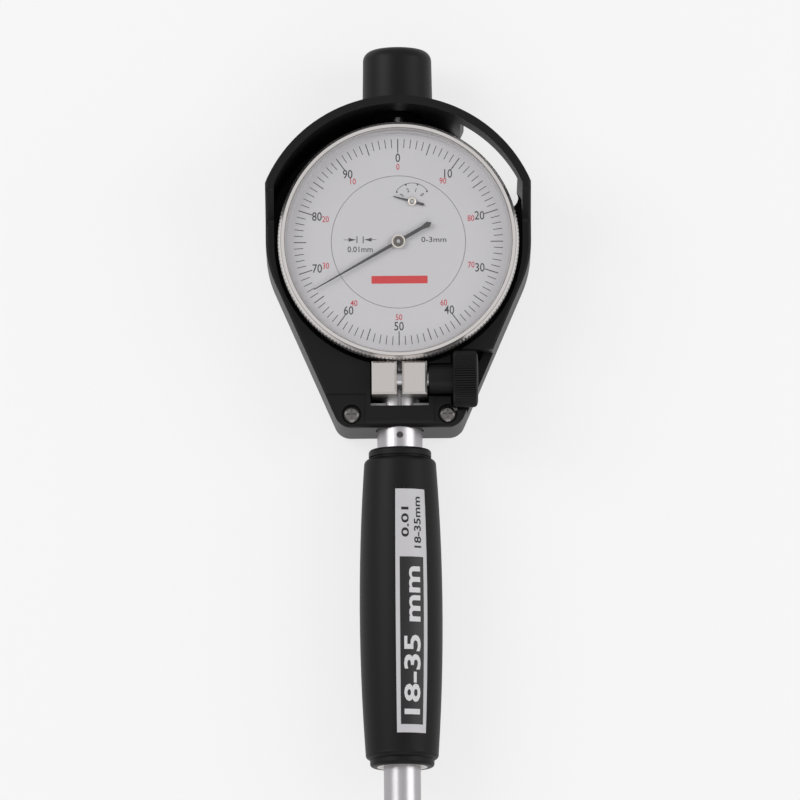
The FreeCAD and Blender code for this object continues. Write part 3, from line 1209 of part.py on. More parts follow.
def centre_cock():
    """The bridge in front of the spindle that carries two arbors' back pivots."""
    z1 = COCK_Z + COCK_THICKNESS
    along = polar(1, COCK_ANGLE)
    across = Vector(-along.y, along.x, 0)
    half_length = COCK_HALF_LENGTH
    half = 2.0
    corners = []
    for a, b in ((-1, -1), (1, -1), (1, 1), (-1, 1), (-1, -1)):
        corners.append(along * (a * half_length) + across * (b * half) + Vector(0, 0, COCK_Z))
    cock = Part.Face(Part.makePolygon(corners)).extrude(Vector(0, 0, COCK_THICKNESS))
    for side in (-1, 1):
        place = along * (side * (half_length - 1.6))
        cock = cock.fuse(disc(place.x, place.y, COCK_Z, TOP_PLATE_Z, 1.2))
    counter = disc(COUNTER_AT.x, COUNTER_AT.y, COCK_Z, z1, 1.8)
    arm = Part.makeBox(TRAIN_DISTANCE, 2.4, COCK_THICKNESS, Vector(0, -1.2, COCK_Z))
    arm.rotate(Vector(0, 0, 0), Vector(0, 0, 1), math.degrees(math.atan2(COUNTER_AT.y, COUNTER_AT.x)))
    cock = cock.fuse([counter, arm])
    for place in (Vector(0, 0, 0), COUNTER_AT):
        cock = cock.cut(disc(place.x, place.y, 0, FAR, ARBOR_RADIUS + RUN_GAP))
    return cock.removeSplitter()


def rack_pinion():
    """The pinion that the rack drives, on its arbor."""
    low = BASE_PLATE_Z + 0.1
    high = TOP_PLATE_Z + PLATE_THICKNESS - 0.1
    centre = RACK_AXIS_AT
    width = RACK_WIDTH - 0.4
    toothed = gear(centre, RACK_PINION_TEETH, RACK_MODULE, AXIS_Z - width / 2, width,
                   180 / RACK_PINION_TEETH, 0)
    return disc(centre.x, centre.y, low, high, ARBOR_RADIUS).fuse(toothed)


def drive_wheel():
    """The wheel on the rack pinion's arbor, in mesh with the centre pinion."""
    toward = math.degrees(math.atan2(TRAIN_Y, TRAIN_X))
    return gear(RACK_AXIS_AT, WHEEL_TEETH, WHEEL_MODULE, WHEEL_Z, WHEEL_THICKNESS, toward,
                ARBOR_RADIUS + SEAT_GAP)


def centre_pinion():
    """The centre pinion, whose arbor carries the main hand."""
    toward = math.degrees(math.atan2(TRAIN_Y, TRAIN_X))
    toothed = gear(Vector(0, 0, 0), CENTRE_PINION_TEETH, WHEEL_MODULE, WHEEL_Z - 0.3,
                   WHEEL_THICKNESS + 0.6, toward + 180 / CENTRE_PINION_TEETH, 0)
    return disc(0, 0, COCK_Z + 0.1, MAIN_HAND_Z + HAND_BUSH_HEIGHT, ARBOR_RADIUS).fuse(toothed)


def counter_arbor():
    """The arbor of the take-up wheel and the counter hand, with its spring collet."""
    arbor = disc(COUNTER_AT.x, COUNTER_AT.y, COCK_Z + 0.1, COUNTER_HAND_Z + 0.3, ARBOR_RADIUS)
    collet_radius = HAIRSPRING_INNER - HAIRSPRING_WIDTH / 2
    collet = disc(COUNTER_AT.x, COUNTER_AT.y, HAIRSPRING_Z - 0.1,
                  HAIRSPRING_Z + HAIRSPRING_HEIGHT + 0.1, collet_radius)
    return arbor.fuse(collet)


def take_up_wheel():
    """The wheel that takes up the train's play and turns the counter hand."""
    toward = math.degrees(math.atan2(TRAIN_Y, TRAIN_X)) + 180
    return gear(COUNTER_AT, WHEEL_TEETH, WHEEL_MODULE, WHEEL_Z, WHEEL_THICKNESS, toward,
                ARBOR_RADIUS + SEAT_GAP)


def hairspring():
    """The flat spiral spring of the take-up wheel."""
    points = []
    inner, outer = HAIRSPRING_INNER, HAIRSPRING_OUTER
    steps = 10 * HAIRSPRING_TURNS
    for index in range(steps + 1):
        share = index / steps
        points.append(polar(inner + (outer - inner) * share, 36 * index))
    half = HAIRSPRING_WIDTH / 2
    outline = [p * ((p.Length + half) / p.Length) for p in points]
    outline += [p * ((p.Length - half) / p.Length) for p in reversed(points)]
    outline.append(outline[0])
    spiral = Part.Face(Part.makePolygon(outline)).extrude(Vector(0, 0, HAIRSPRING_HEIGHT))
    spiral.translate(Vector(COUNTER_AT.x, COUNTER_AT.y, HAIRSPRING_Z))
    return spiral


def hand_blade(length, tail, root, tip, tail_width, hub_radius, z):
    """A flat hand pointing along +Y: tapered blade, tail with a diamond end."""
    tail_end = -tail
    points = [
        Vector(-root / 2, hub_radius * 0.5, 0),
        Vector(-tip / 2, length, 0),
        Vector(tip / 2, length, 0),
        Vector(root / 2, hub_radius * 0.5, 0),
        Vector(root / 2, tail_end * 0.72, 0),
        Vector(tail_width / 2, tail_end * 0.9, 0),
        Vector(0, tail_end, 0),
        Vector(-tail_width / 2, tail_end * 0.9, 0),
        Vector(-root / 2, tail_end * 0.72, 0),
    ]
    points.append(points[0])
    blade = Part.Face(Part.makePolygon(points))
    blade = blade.extrude(Vector(0, 0, HAND_THICKNESS))
    blade = blade.fuse(disc(0, 0, 0, HAND_THICKNESS, hub_radius))
    blade.translate(Vector(0, 0, z))
    return blade


def main_hand():
    """The main hand."""
    hand = hand_blade(MAIN_HAND_LENGTH, MAIN_HAND_TAIL, 0.85, 0.22, 1.5, HAND_HUB_RADIUS, MAIN_HAND_Z)
    hand.rotate(Vector(0, 0, 0), Vector(0, 0, 1), -MAIN_HAND_ANGLE)
    return hand.cut(disc(0, 0, 0, FAR, ARBOR_RADIUS + SEAT_GAP))


def main_hand_bush():
    """The metal bush riveted into the main hand."""
    inner = ARBOR_RADIUS + SEAT_GAP
    top = MAIN_HAND_Z + HAND_THICKNESS
    return turned_z([
        (inner, top),
        (HAND_BUSH_RADIUS, top),
        (HAND_BUSH_RADIUS, top + 0.15),
        (HAND_BUSH_RADIUS - 0.3, top + 0.22),
        (inner, top + 0.22),
    ])


def counter_hand():
    """The small hand that counts the turns."""
    hand = hand_blade(COUNTER_HAND_LENGTH, COUNTER_HAND_TAIL, 0.6, 0.2, 0.7, COUNTER_HUB_RADIUS,
                      COUNTER_HAND_Z)
    hand.rotate(Vector(0, 0, 0), Vector(0, 0, 1), -COUNTER_HAND_ANGLE)
    hand.translate(COUNTER_AT)
    return hand.cut(disc(COUNTER_AT.x, COUNTER_AT.y, 0, FAR, ARBOR_RADIUS + SEAT_GAP))


def return_spring():
    """The spring between the spindle's shoulder and the top bush."""
    length = TOP_BUSH_INNER_Y - SPINDLE_SHOULDER_Y
    return coil(Vector(0, SPINDLE_SHOULDER_Y + TOUCH_GAP, AXIS_Z), Vector(0, 1, 0),
                RETURN_SPRING_RADIUS, RETURN_SPRING_WIRE, length - 2 * TOUCH_GAP,
                RETURN_SPRING_TURNS)


# -------------------------------------------------------------------- output
save("guard_shell", guard_shell())
save("guard_screws", guard_screws())
save("neck_tube", neck_tube())
save("neck_bracket", neck_bracket())
save("neck_set_screw", neck_set_screw())
save("clamp_collar", clamp_collar())
save("clamp_screw", clamp_screw())
save("clamp_knob", clamp_knob())
save("handle_grip", handle_grip())
save("handle_ferrule", ferrule())
save("measuring_tube", sleeve(TUBE_END_Y, TUBE_TOP_Y, TUBE_RADIUS, TUBE_BORE))
upper_bush_top = ROD_TOP_Y - 0.75
save("upper_rod_bush", sleeve(upper_bush_top - UPPER_BUSH_LENGTH, upper_bush_top,
                              STEM_RADIUS, ROD_RADIUS + RUN_GAP))
spring_start = ROD_COLLAR_Y + ROD_COLLAR_LENGTH
seat_y = spring_start + ROD_SPRING_LENGTH
save("spring_seat_bush", sleeve(seat_y, seat_y + SPRING_SEAT_LENGTH, TUBE_BORE - SEAT_GAP,
                                ROD_RADIUS + RUN_GAP))
save("lower_rod_bush", sleeve(LOWER_BUSH_Y, LOWER_BUSH_Y + LOWER_BUSH_LENGTH, TUBE_BORE - SEAT_GAP,
                              ROD_RADIUS + RUN_GAP))
save("push_rod", push_rod())
save("push_rod_spring", coil(Vector(0, spring_start + TOUCH_GAP, AXIS_Z), Vector(0, 1, 0),
                             ROD_SPRING_RADIUS, ROD_SPRING_WIRE, ROD_SPRING_LENGTH - 2 * TOUCH_GAP,
                             ROD_SPRING_TURNS))
save("head_body", head_body())
save("head_end_cap", head_end_cap())
save("end_cap_screw", end_cap_screw())
save("bell_crank", bell_crank())
save("bell_crank_pin", disc(LEVER_PIVOT_X, LEVER_PIVOT_Y, AXIS_Z - LEVER_PIN_LENGTH / 2,
                            AXIS_Z + LEVER_PIN_LENGTH / 2, LEVER_PIN_RADIUS))
save("measuring_plunger", measuring_plunger())
save("plunger_tip", domed_tip(PLUNGER_TIP_X + PLUNGER_BALL_RADIUS, PLUNGER_TIP_X, PLUNGER_BALL_RADIUS))
save("plunger_bush", plunger_bush())
save("centring_bridge", centring_bridge())
save("bridge_guide_screws", bridge_guide_screws())
save("bridge_springs", bridge_springs())
save("anvil", anvil())
save("anvil_tip", domed_tip(ANVIL_FACE, ANVIL_TIP_X, ANVIL_TIP_X - ANVIL_FACE))
save("anvil_lock_nut", anvil_lock_nut())
save("indicator_case", indicator_case())
save("indicator_stem", stem())
save("back_cover", back_cover())
save("back_cover_screws", back_cover_screws())
save("bezel", bezel())
save("bezel_spring", bezel_spring())
save("dial_ring", dial_ring())
save("dial_centre", dial_centre())
save("crystal", crystal())
save("spindle", spindle())
save("contact_point", contact_point())
save("spindle_top_bush", spindle_top_bush())
save("spindle_guide_pin", spindle_guide_pin())
save("movement_base_plate", movement_base_plate())
save("movement_top_plate", movement_top_plate())
save("movement_pillars", movement_pillars())
save("centre_cock", centre_cock())
save("rack_pinion", rack_pinion())
save("drive_wheel", drive_wheel())
save("centre_pinion", centre_pinion())
save("counter_arbor", counter_arbor())
save("take_up_wheel", take_up_wheel())
save("hairspring", hairspring())
save("main_hand", main_hand())
save("main_hand_bush", main_hand_bush())
save("counter_hand", counter_hand())
save("return_spring", return_spring())
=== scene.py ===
"""Looks for a dial bore gauge lying on its back: finishes, dial print, knob, label and studio."""

import json
import logging
import math
from dataclasses import dataclass
from enum import Enum
from typing import Any, Optional, Sequence, Union

import bmesh
import bpy
from mathutils import Matrix, Vector


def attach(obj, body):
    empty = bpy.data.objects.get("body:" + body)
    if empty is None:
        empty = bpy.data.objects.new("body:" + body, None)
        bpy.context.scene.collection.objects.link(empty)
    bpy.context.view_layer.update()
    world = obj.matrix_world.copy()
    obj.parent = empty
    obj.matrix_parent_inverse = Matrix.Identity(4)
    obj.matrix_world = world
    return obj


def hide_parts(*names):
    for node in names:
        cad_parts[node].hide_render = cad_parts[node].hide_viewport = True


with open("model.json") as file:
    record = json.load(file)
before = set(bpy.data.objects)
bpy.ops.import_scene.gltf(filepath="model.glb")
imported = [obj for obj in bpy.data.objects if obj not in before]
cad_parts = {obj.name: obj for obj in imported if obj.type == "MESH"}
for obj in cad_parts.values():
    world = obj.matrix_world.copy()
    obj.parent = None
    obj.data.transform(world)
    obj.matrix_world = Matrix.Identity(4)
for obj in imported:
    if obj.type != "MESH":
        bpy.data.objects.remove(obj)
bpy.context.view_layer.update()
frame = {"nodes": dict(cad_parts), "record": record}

MM = 0.001
AXIS_Z = 13.0 * MM
COUNTER_CENTRE = (3.4 * MM, 9.9 * MM)
Number = Union[int, float, "Shade"]
Colour = tuple[float, float, float]
log = logging.getLogger("bore_gauge")


class Lay(Enum):
    """Which way a machined surface's fine lines run."""

    ABOUT_DIAL = "about_dial"
    ABOUT_STEM = "about_stem"
    ABOUT_FEELER = "about_feeler"
    NONE = "none"


# ------------------------------------------------------------------ shader maths
class Shade:
    """A float socket in a recipe, so that shader maths reads as plain Python."""

    def __init__(self, recipe: "Recipe", socket: bpy.types.NodeSocket) -> None:
        """Wraps one output socket.

        Args:
            recipe: The recipe that the socket belongs to.
            socket: The socket itself.
        """
        self.recipe = recipe
        self.socket = socket

    def __add__(self, other: Number) -> "Shade":
        """Sum of two values."""
        return self.recipe.maths("ADD", self, other)

    def __radd__(self, other: Number) -> "Shade":
        """Sum, with the value on the right."""
        return self.recipe.maths("ADD", other, self)

    def __sub__(self, other: Number) -> "Shade":
        """Difference of two values."""
        return self.recipe.maths("SUBTRACT", self, other)

    def __rsub__(self, other: Number) -> "Shade":
        """Difference, with the value on the right."""
        return self.recipe.maths("SUBTRACT", other, self)

    def __mul__(self, other: Number) -> "Shade":
        """Product of two values."""
        return self.recipe.maths("MULTIPLY", self, other)

    def __rmul__(self, other: Number) -> "Shade":
        """Product, with the value on the right."""
        return self.recipe.maths("MULTIPLY", other, self)

    def __truediv__(self, other: Number) -> "Shade":
        """Quotient of two values."""
        return self.recipe.maths("DIVIDE", self, other)

    def __gt__(self, other: Number) -> "Shade":
        """1 where the value is larger than the other, else 0."""
        return self.recipe.maths("GREATER_THAN", self, other)

    def __lt__(self, other: Number) -> "Shade":
        """1 where the value is smaller than the other, else 0."""
        return self.recipe.maths("LESS_THAN", self, other)


class Recipe:
    """One material: a Principled shader and the nodes that feed it."""

    def __init__(self, name: str) -> None:
        """Starts an empty material.

        Args:
            name: The material's name.
        """
        self.material = bpy.data.materials.new(name)
        self.material.use_nodes = True
        self.tree = self.material.node_tree
        self.tree.nodes.clear()
        self.output = self.node("ShaderNodeOutputMaterial")
        self.shader = self.node("ShaderNodeBsdfPrincipled")
        self.tree.links.new(self.shader.outputs["BSDF"], self.output.inputs["Surface"])
        self.place = self.node("ShaderNodeTexCoord").outputs["Object"]

    def node(self, kind: str, settings: Optional[dict[str, Any]] = None,
             inputs: Optional[dict[Any, Any]] = None) -> bpy.types.Node:
        """Adds a node.

        Args:
            kind: The node's type.
            settings: Its properties; a ramp's "stops" are (place, colour) pairs.
            inputs: Values, sockets or Shades for its inputs, by name or number.

        Returns:
            The new node.
        """
        made = self.tree.nodes.new(kind)
        for key, value in (settings or {}).items():
            if key == "stops":
                self.set_stops(made.color_ramp, value)
            else:
                setattr(made, key, value)
        for key, value in (inputs or {}).items():
            self.feed(made.inputs[key], value)
        return made

    def set_stops(self, ramp: bpy.types.ColorRamp, stops: Sequence[tuple[float, Colour]]) -> None:
        """Sets a ramp's stops.

        Args:
            ramp: The ramp.
            stops: Place and colour of each stop, in order.
        """
        while len(ramp.elements) < len(stops):
            ramp.elements.new(0.5)
        for element, (place, colour) in zip(ramp.elements, stops):
            element.position = place
            element.color = (*colour, 1.0)

    def feed(self, socket: bpy.types.NodeSocket, value: Any) -> None:
        """Gives an input its value or link.

        Args:
            socket: The input.
            value: A number, colour, vector, socket or Shade.
        """
        if isinstance(value, Shade):
            self.tree.links.new(value.socket, socket)
        elif isinstance(value, bpy.types.NodeSocket):
            self.tree.links.new(value, socket)
        elif socket.type == "RGBA" and len(value) == 3:
            socket.default_value = (*value, 1.0)
        else:
            socket.default_value = value

    def maths(self, operation: str, first: Number, second: Number = 0.0) -> Shade:
        """Adds a Math node.

        Args:
            operation: The node's operation.
            first: Its first value.
            second: Its second value.

        Returns:
            The result.
        """
        made = self.node("ShaderNodeMath", {"operation": operation}, {0: first, 1: second})
        return Shade(self, made.outputs[0])

    def axes(self) -> tuple[Shade, Shade, Shade]:
        """The place on the object as three values in metres."""
        split = self.node("ShaderNodeSeparateXYZ", None, {0: self.place})
        return tuple(Shade(self, split.outputs[name]) for name in "XYZ")

    def radius(self, first: Shade, second: Shade) -> Shade:
        """Distance from an axis, from two coordinates measured from it."""
        return self.maths("SQRT", first * first + second * second)

    def noise(self, scale: float, detail: float = 2.0) -> Shade:
        """Noise in space, with its scale per metre."""
        made = self.node("ShaderNodeTexNoise", {"noise_dimensions": "3D"},
                         {"Vector": self.place, "Scale": scale, "Detail": detail})
        return Shade(self, made.outputs["Fac"])

    def lines(self, along: Shade, scale: float) -> Shade:
        """Noise that changes along one value only."""
        made = self.node("ShaderNodeTexNoise", {"noise_dimensions": "1D"},
                         {"W": along, "Scale": scale, "Detail": 3.0})
        return Shade(self, made.outputs["Fac"])

    def mix(self, factor: Number, first: Any, second: Any) -> bpy.types.NodeSocket:
        """Mixes two colours.

        Args:
            factor: How much of the second.
            first: A colour or socket.
            second: A colour or socket.

        Returns:
            The mixed colour's socket.
        """
        made = self.node("ShaderNodeMix", {"data_type": "RGBA"}, {0: factor, 6: first, 7: second})
        return made.outputs[2]

    def bump(self, height: Shade, distance: float, strength: float = 1.0) -> None:
        """Feeds the shader's normal from a height.

        Args:
            height: The height, 0 to 1.
            distance: The height of 1, in metres.
            strength: How much of it shows.
        """
        made = self.node("ShaderNodeBump", None,
                         {"Height": height, "Distance": distance, "Strength": strength})
        self.tree.links.new(made.outputs["Normal"], self.shader.inputs["Normal"])

    def set(self, **values: Any) -> None:
        """Sets the shader's own sockets; spaces in names are written as underscores."""
        for name, value in values.items():
            self.feed(self.shader.inputs[name.replace("_", " ")], value)


def display(red: int, green: int, blue: int) -> Colour:
    """Turns a display colour of 0 to 255 into the linear one that shaders use."""
    def channel(value: int) -> float:
        """One channel."""
        share = value / 255
        return share / 12.92 if share <= 0.04045 else ((share + 0.055) / 1.055) ** 2.4
    return channel(red), channel(green), channel(blue)


# ---------------------------------------------------------------------- finishes
@dataclass(frozen=True)
class MouldedPlastic:
    """Injection-moulded plastic with a spark-eroded grain."""

    name: str
    colour: Colour
    roughness: float = 0.42
    grain: float = 2600.0
    depth: float = 0.000012
    gloss: float = 0.15

    def build(self) -> bpy.types.Material:
        """Makes the material."""
        recipe = Recipe(self.name)
        fine = recipe.noise(self.grain, 3.0)
        broad = recipe.noise(45.0, 2.0)
        lighter = tuple(1.35 * value + 0.001 for value in self.colour)
        recipe.set(Base_Color=recipe.mix(broad, self.colour, lighter),
                   Roughness=self.roughness - 0.06 + 0.08 * broad + 0.05 * fine)
        recipe.shader.inputs["Specular IOR Level"].default_value = self.gloss
        recipe.bump(fine, self.depth)
        return recipe.material


@dataclass(frozen=True)
class MachinedMetal:
    """Turned, ground or plated metal with fine lines."""

    name: str
    colour: Colour
    roughness: float = 0.3
    lay: Lay = Lay.NONE
    pitch: float = 0.00012
    depth: float = 0.000002
    patina: float = 0.12

    def build(self) -> bpy.types.Material:
        """Makes the material."""
        recipe = Recipe(self.name)
        x, y, _ = recipe.axes()
        scale = 1.0 / self.pitch
        if self.lay is Lay.ABOUT_DIAL:
            fine = recipe.lines(recipe.radius(x, y), scale)
        elif self.lay is Lay.ABOUT_STEM:
            fine = recipe.lines(y, scale)
        elif self.lay is Lay.ABOUT_FEELER:
            fine = recipe.lines(x, scale)
        else:
            fine = recipe.noise(scale, 2.0)
        broad = recipe.noise(60.0, 3.0)
        darker = tuple((1.0 - self.patina) * value for value in self.colour)
        recipe.set(Base_Color=recipe.mix(broad * 0.6 + fine * 0.4, self.colour, darker),
                   Metallic=1.0,
                   Roughness=self.roughness - 0.05 + 0.06 * fine + 0.06 * broad)
        recipe.bump(fine, self.depth)
        return recipe.material


@dataclass(frozen=True)
class BezelMetal:
    """Matt chromed aluminium: fine rings on the face, knurling round the edge, with painted shade in the
    knurl's valleys and painted dark reflections as thin rings on the face.
    """

    name: str
    colour: Colour
    # Painted shade and reflection colour: it darkens the knurl's valleys and the thin rings on the face.
    shade_and_reflection: Colour
    teeth: int = 190
    knurl_radius: float = 29.0 * MM
    # Radii and width of the thin dark rings painted on the face as dark reflections.
    reflection_radii: tuple[float, ...] = (27.62 * MM, 28.55 * MM)
    reflection_width: float = 0.09 * MM
    face_height: float = 25.0 * MM
    ring_scale: float = 9000.0

    def build(self) -> bpy.types.Material:
        """Makes the material."""
        recipe = Recipe(self.name)
        x, y, z = recipe.axes()
        radius = recipe.radius(x, y)
        rings = recipe.lines(radius, self.ring_scale)
        angle = recipe.maths("ARCTAN2", y, x)
        tooth = recipe.maths("PINGPONG", angle * (self.teeth / math.tau), 0.5) * 2.0
        # Painted reflection: thin dark rings on the face stand in for the dark reflections that the bezel's
        # bevel shows.
        edge = radius > self.knurl_radius
        dark = None
        for place in self.reflection_radii:
            near = recipe.maths("ABSOLUTE", radius - place) < self.reflection_width
            dark = near if dark is None else dark + near
        front = z > self.face_height
        # Painted shade: the knurl's valleys are darkened in colour towards the dark colour.
        metal = recipe.mix(edge * (1.0 - tooth) * 0.75, self.colour, self.shade_and_reflection)
        recipe.set(Base_Color=recipe.mix(dark * front * 0.55, metal, self.shade_and_reflection), Metallic=0.85,
                   Roughness=0.3 + 0.08 * rings)
        recipe.bump(edge * tooth + (1.0 - edge) * rings * 0.03, 0.00018, 0.9)
        return recipe.material


@dataclass(frozen=True)
class Paint:
    """Flat paint or printing ink."""

    name: str
    colour: Colour
    roughness: float = 0.55
    mottle: float = 0.03
    gloss: float = 0.35

    def build(self) -> bpy.types.Material:
        """Makes the material."""
        recipe = Recipe(self.name)
        broad = recipe.noise(90.0, 2.0)
        fine = recipe.noise(9000.0, 1.0)
        darker = tuple((1.0 - self.mottle) * value for value in self.colour)
        recipe.set(Base_Color=recipe.mix(broad, self.colour, darker),
                   Roughness=self.roughness + 0.05 * fine)
        recipe.shader.inputs["Specular IOR Level"].default_value = self.gloss
        recipe.bump(fine, 0.000001)
        return recipe.material


@dataclass(frozen=True)
class HandEnamel:
    """A black hand with a bright riveted boss round its arbor."""

    name: str
    centre: tuple[float, float]
    boss_radius: float
    cap_radius: float

    def build(self) -> bpy.types.Material:
        """Makes the material."""
        recipe = Recipe(self.name)
        x, y, _ = recipe.axes()
        radius = recipe.radius(x - self.centre[0], y - self.centre[1])
        boss = radius < self.boss_radius
        cap = radius < self.cap_radius
        bright = recipe.mix(cap, display(226, 220, 210), display(88, 80, 76))
        fine = recipe.noise(9000.0, 1.0)
        recipe.set(Base_Color=recipe.mix(boss, display(30, 28, 30), bright),
                   Metallic=boss * 0.8, Roughness=0.36 + 0.1 * fine)
        recipe.bump(fine, 0.000001)
        return recipe.material


@dataclass(frozen=True)
class FlatCrystal:
    """A thin clear crystal that shows the dial and a little gloss."""

    name: str
    veil: float = 0.05

    def build(self) -> bpy.types.Material:
        """Makes the material."""
        recipe = Recipe(self.name)
        smudge = recipe.noise(120.0, 3.0)
        recipe.set(Base_Color=(0.75, 0.76, 0.77), Roughness=0.03 + 0.03 * smudge,
                   Alpha=self.veil - 0.01 + 0.02 * smudge)
        recipe.shader.inputs["IOR"].default_value = 1.5
        recipe.bump(smudge, 0.000001)
        return recipe.material


class Finishes:
    """Every finish of the gauge, made once and handed out by its record slot."""

    def __init__(self) -> None:
        """Builds the finishes."""
        chrome = display(178, 176, 178)
        plans = {
            "black_plastic": MouldedPlastic("guard_plastic", display(20, 19, 20)),
            "grip_plastic": MouldedPlastic("grip_plastic", display(18, 17, 18), 0.46, 2200.0, 0.000016),
            "satin_chrome": MachinedMetal("satin_chrome", chrome, 0.33, Lay.ABOUT_STEM),
            "nickel": MachinedMetal("nickel_plate", display(208, 203, 200), 0.36, Lay.NONE, 0.0002),
            "steel": MachinedMetal("ground_steel", display(196, 196, 198), 0.24, Lay.ABOUT_STEM),
            "dark_steel": MachinedMetal("blackened_steel", display(92, 90, 90), 0.34),
            "spring_steel": MachinedMetal("drawn_spring_wire", display(150, 150, 152), 0.3),
            "carbide": MachinedMetal("polished_carbide", display(150, 150, 156), 0.12),
            "zinc_casting": MachinedMetal("zinc_casting", display(160, 160, 162), 0.5, depth=0.00001),
            "brass": MachinedMetal("turned_brass", display(216, 186, 120), 0.28, Lay.ABOUT_DIAL),
            # The bezel's second colour is the painted shade in its knurl and the painted dark reflection
            # rings on its face.
            "bezel_aluminium": BezelMetal("bezel_metal", display(216, 212, 210), display(92, 90, 88)),
            "dial_paint": Paint("dial_lacquer", display(213, 211, 214)),
            "crystal_clear": FlatCrystal("clear_crystal"),
            "hand_white": HandEnamel("main_hand_enamel", (0.0, 0.0), 1.7 * MM, 1.25 * MM),
            "hand_dark": HandEnamel("counter_hand_enamel", COUNTER_CENTRE, 0.8 * MM, 0.2 * MM),
        }
        self.by_slot = {slot: plan.build() for slot, plan in plans.items()}
        self.black_ink = Paint("black_ink", display(46, 44, 48)).build()
        self.red_ink = Paint("red_ink", display(206, 44, 66)).build()
        self.counter_boss = HandEnamel("counter_boss_metal", COUNTER_CENTRE, 3.0 * MM, 0.62 * MM).build()
        self.red_bar = Paint("red_print", display(216, 30, 34)).build()
        self.foil = Paint("label_foil", display(206, 204, 208), 0.4, 0.05, 0.5).build()
        self.label_black = Paint("label_black", display(30, 29, 31), 0.42).build()
        self.label_white = Paint("label_white", display(222, 220, 222), 0.4).build()
        self.feeler_metal = MachinedMetal("turned_across_feeler", chrome, 0.3, Lay.ABOUT_FEELER).build()
        self.bush = MachinedMetal("hand_bush", display(96, 88, 84), 0.34).build()
        self.screw = MachinedMetal("blackened_screw", display(120, 116, 116), 0.3).build()

    def dress_nodes(self) -> None:
        """Gives every carried-over solid its finish."""
        slots = {entry["node"]: entry["material_slot"] for entry in frame["record"]["subparts"]}
        across = {"measuring_plunger", "plunger_bush", "anvil", "anvil_lock_nut", "centring_bridge",
                  "clamp_screw"}
        for name, node in frame["nodes"].items():
            material = self.by_slot[slots[name]]
            if name in across:
                material = self.feeler_metal
            elif name == "main_hand_bush":
                material = self.bush
            elif name == "guard_screws":
                material = self.screw
            if not node.material_slots:
                node.data.materials.append(None)
            for slot in node.material_slots:
                slot.material = material
        log.info("dressed %d solids", len(frame["nodes"]))


# ---------------------------------------------------------------- making pieces
def add_piece(name: str, shape: bmesh.types.BMesh, material: bpy.types.Material, body: str,
              smooth: bool = False) -> bpy.types.Object:
    """Turns a bmesh into a finished piece that rides on a body.

    Args:
        name: The piece's name.
        shape: Its bmesh, which is freed.
        material: Its material.
        body: The body that it rides on.
        smooth: Whether its faces are shaded smooth.

    Returns:
        The new object.
    """
    for face in shape.faces:
        face.smooth = smooth
    mesh = bpy.data.meshes.new(name)
    shape.to_mesh(mesh)
    shape.free()
    mesh.materials.append(material)
    piece = bpy.data.objects.new(name, mesh)
    bpy.context.scene.collection.objects.link(piece)
    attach(piece, body)
    log.info("made %s with %d faces", name, len(mesh.polygons))
    return piece


def add_bar(shape: bmesh.types.BMesh, length: float, width: float,
            place: Matrix) -> list[bmesh.types.BMVert]:
    """Adds a flat bar, centred, with its length along Y.

    Args:
        shape: The bmesh that it goes into.
        length: Its length.
        width: Its width.
        place: Where it goes.

    Returns:
        Its corners.
    """
    made = bmesh.ops.create_grid(shape, x_segments=1, y_segments=1, size=0.5)
    scaled = place @ Matrix.Diagonal((width, length, 1.0, 1.0))
    bmesh.ops.transform(shape, matrix=scaled, verts=made["verts"])
    return made["verts"]


def add_text(shape: bmesh.types.BMesh, text: str, height: float, place: Matrix,
             stretch: float = 0.86, length: Optional[float] = None, weight: float = 0.008) -> None:
    """Adds flat lettering, centred on its own middle.

    Args:
        shape: The bmesh that it goes into.
        text: The characters.
        height: Height of the characters.
        place: Where their middle goes.
        stretch: Their width against the font's own.
        length: The whole text's length, in place of stretch.
        weight: How much the strokes are thickened.
    """
    curve = bpy.data.curves.new("lettering", "FONT")
    curve.offset = weight
    curve.body = text
    curve.resolution_u = 3
    writer = bpy.data.objects.new("lettering", curve)
    bpy.context.scene.collection.objects.link(writer)
    bpy.context.view_layer.update()
    mesh = bpy.data.meshes.new_from_object(writer.evaluated_get(bpy.context.evaluated_depsgraph_get()))
    bpy.data.objects.remove(writer)
    xs = [vertex.co.x for vertex in mesh.vertices]
    ys = [vertex.co.y for vertex in mesh.vertices]
    middle = Vector(((min(xs) + max(xs)) / 2, (min(ys) + max(ys)) / 2, 0.0))
    tall = height / (max(ys) - min(ys))
    wide = tall * stretch if length is None else length / (max(xs) - min(xs))
    mesh.transform(place @ Matrix.Diagonal((wide, tall, 1.0, 1.0)) @ Matrix.Translation(-middle))
    shape.from_mesh(mesh)
    bpy.data.meshes.remove(mesh)
    bpy.data.curves.remove(curve)


def clock(radius: float, degrees: float, z: float) -> Vector:
    """A point at a clock angle, clockwise from the top, round the dial's axis."""
    angle = math.radians(degrees)
    return Vector((radius * math.sin(angle), radius * math.cos(angle), z))


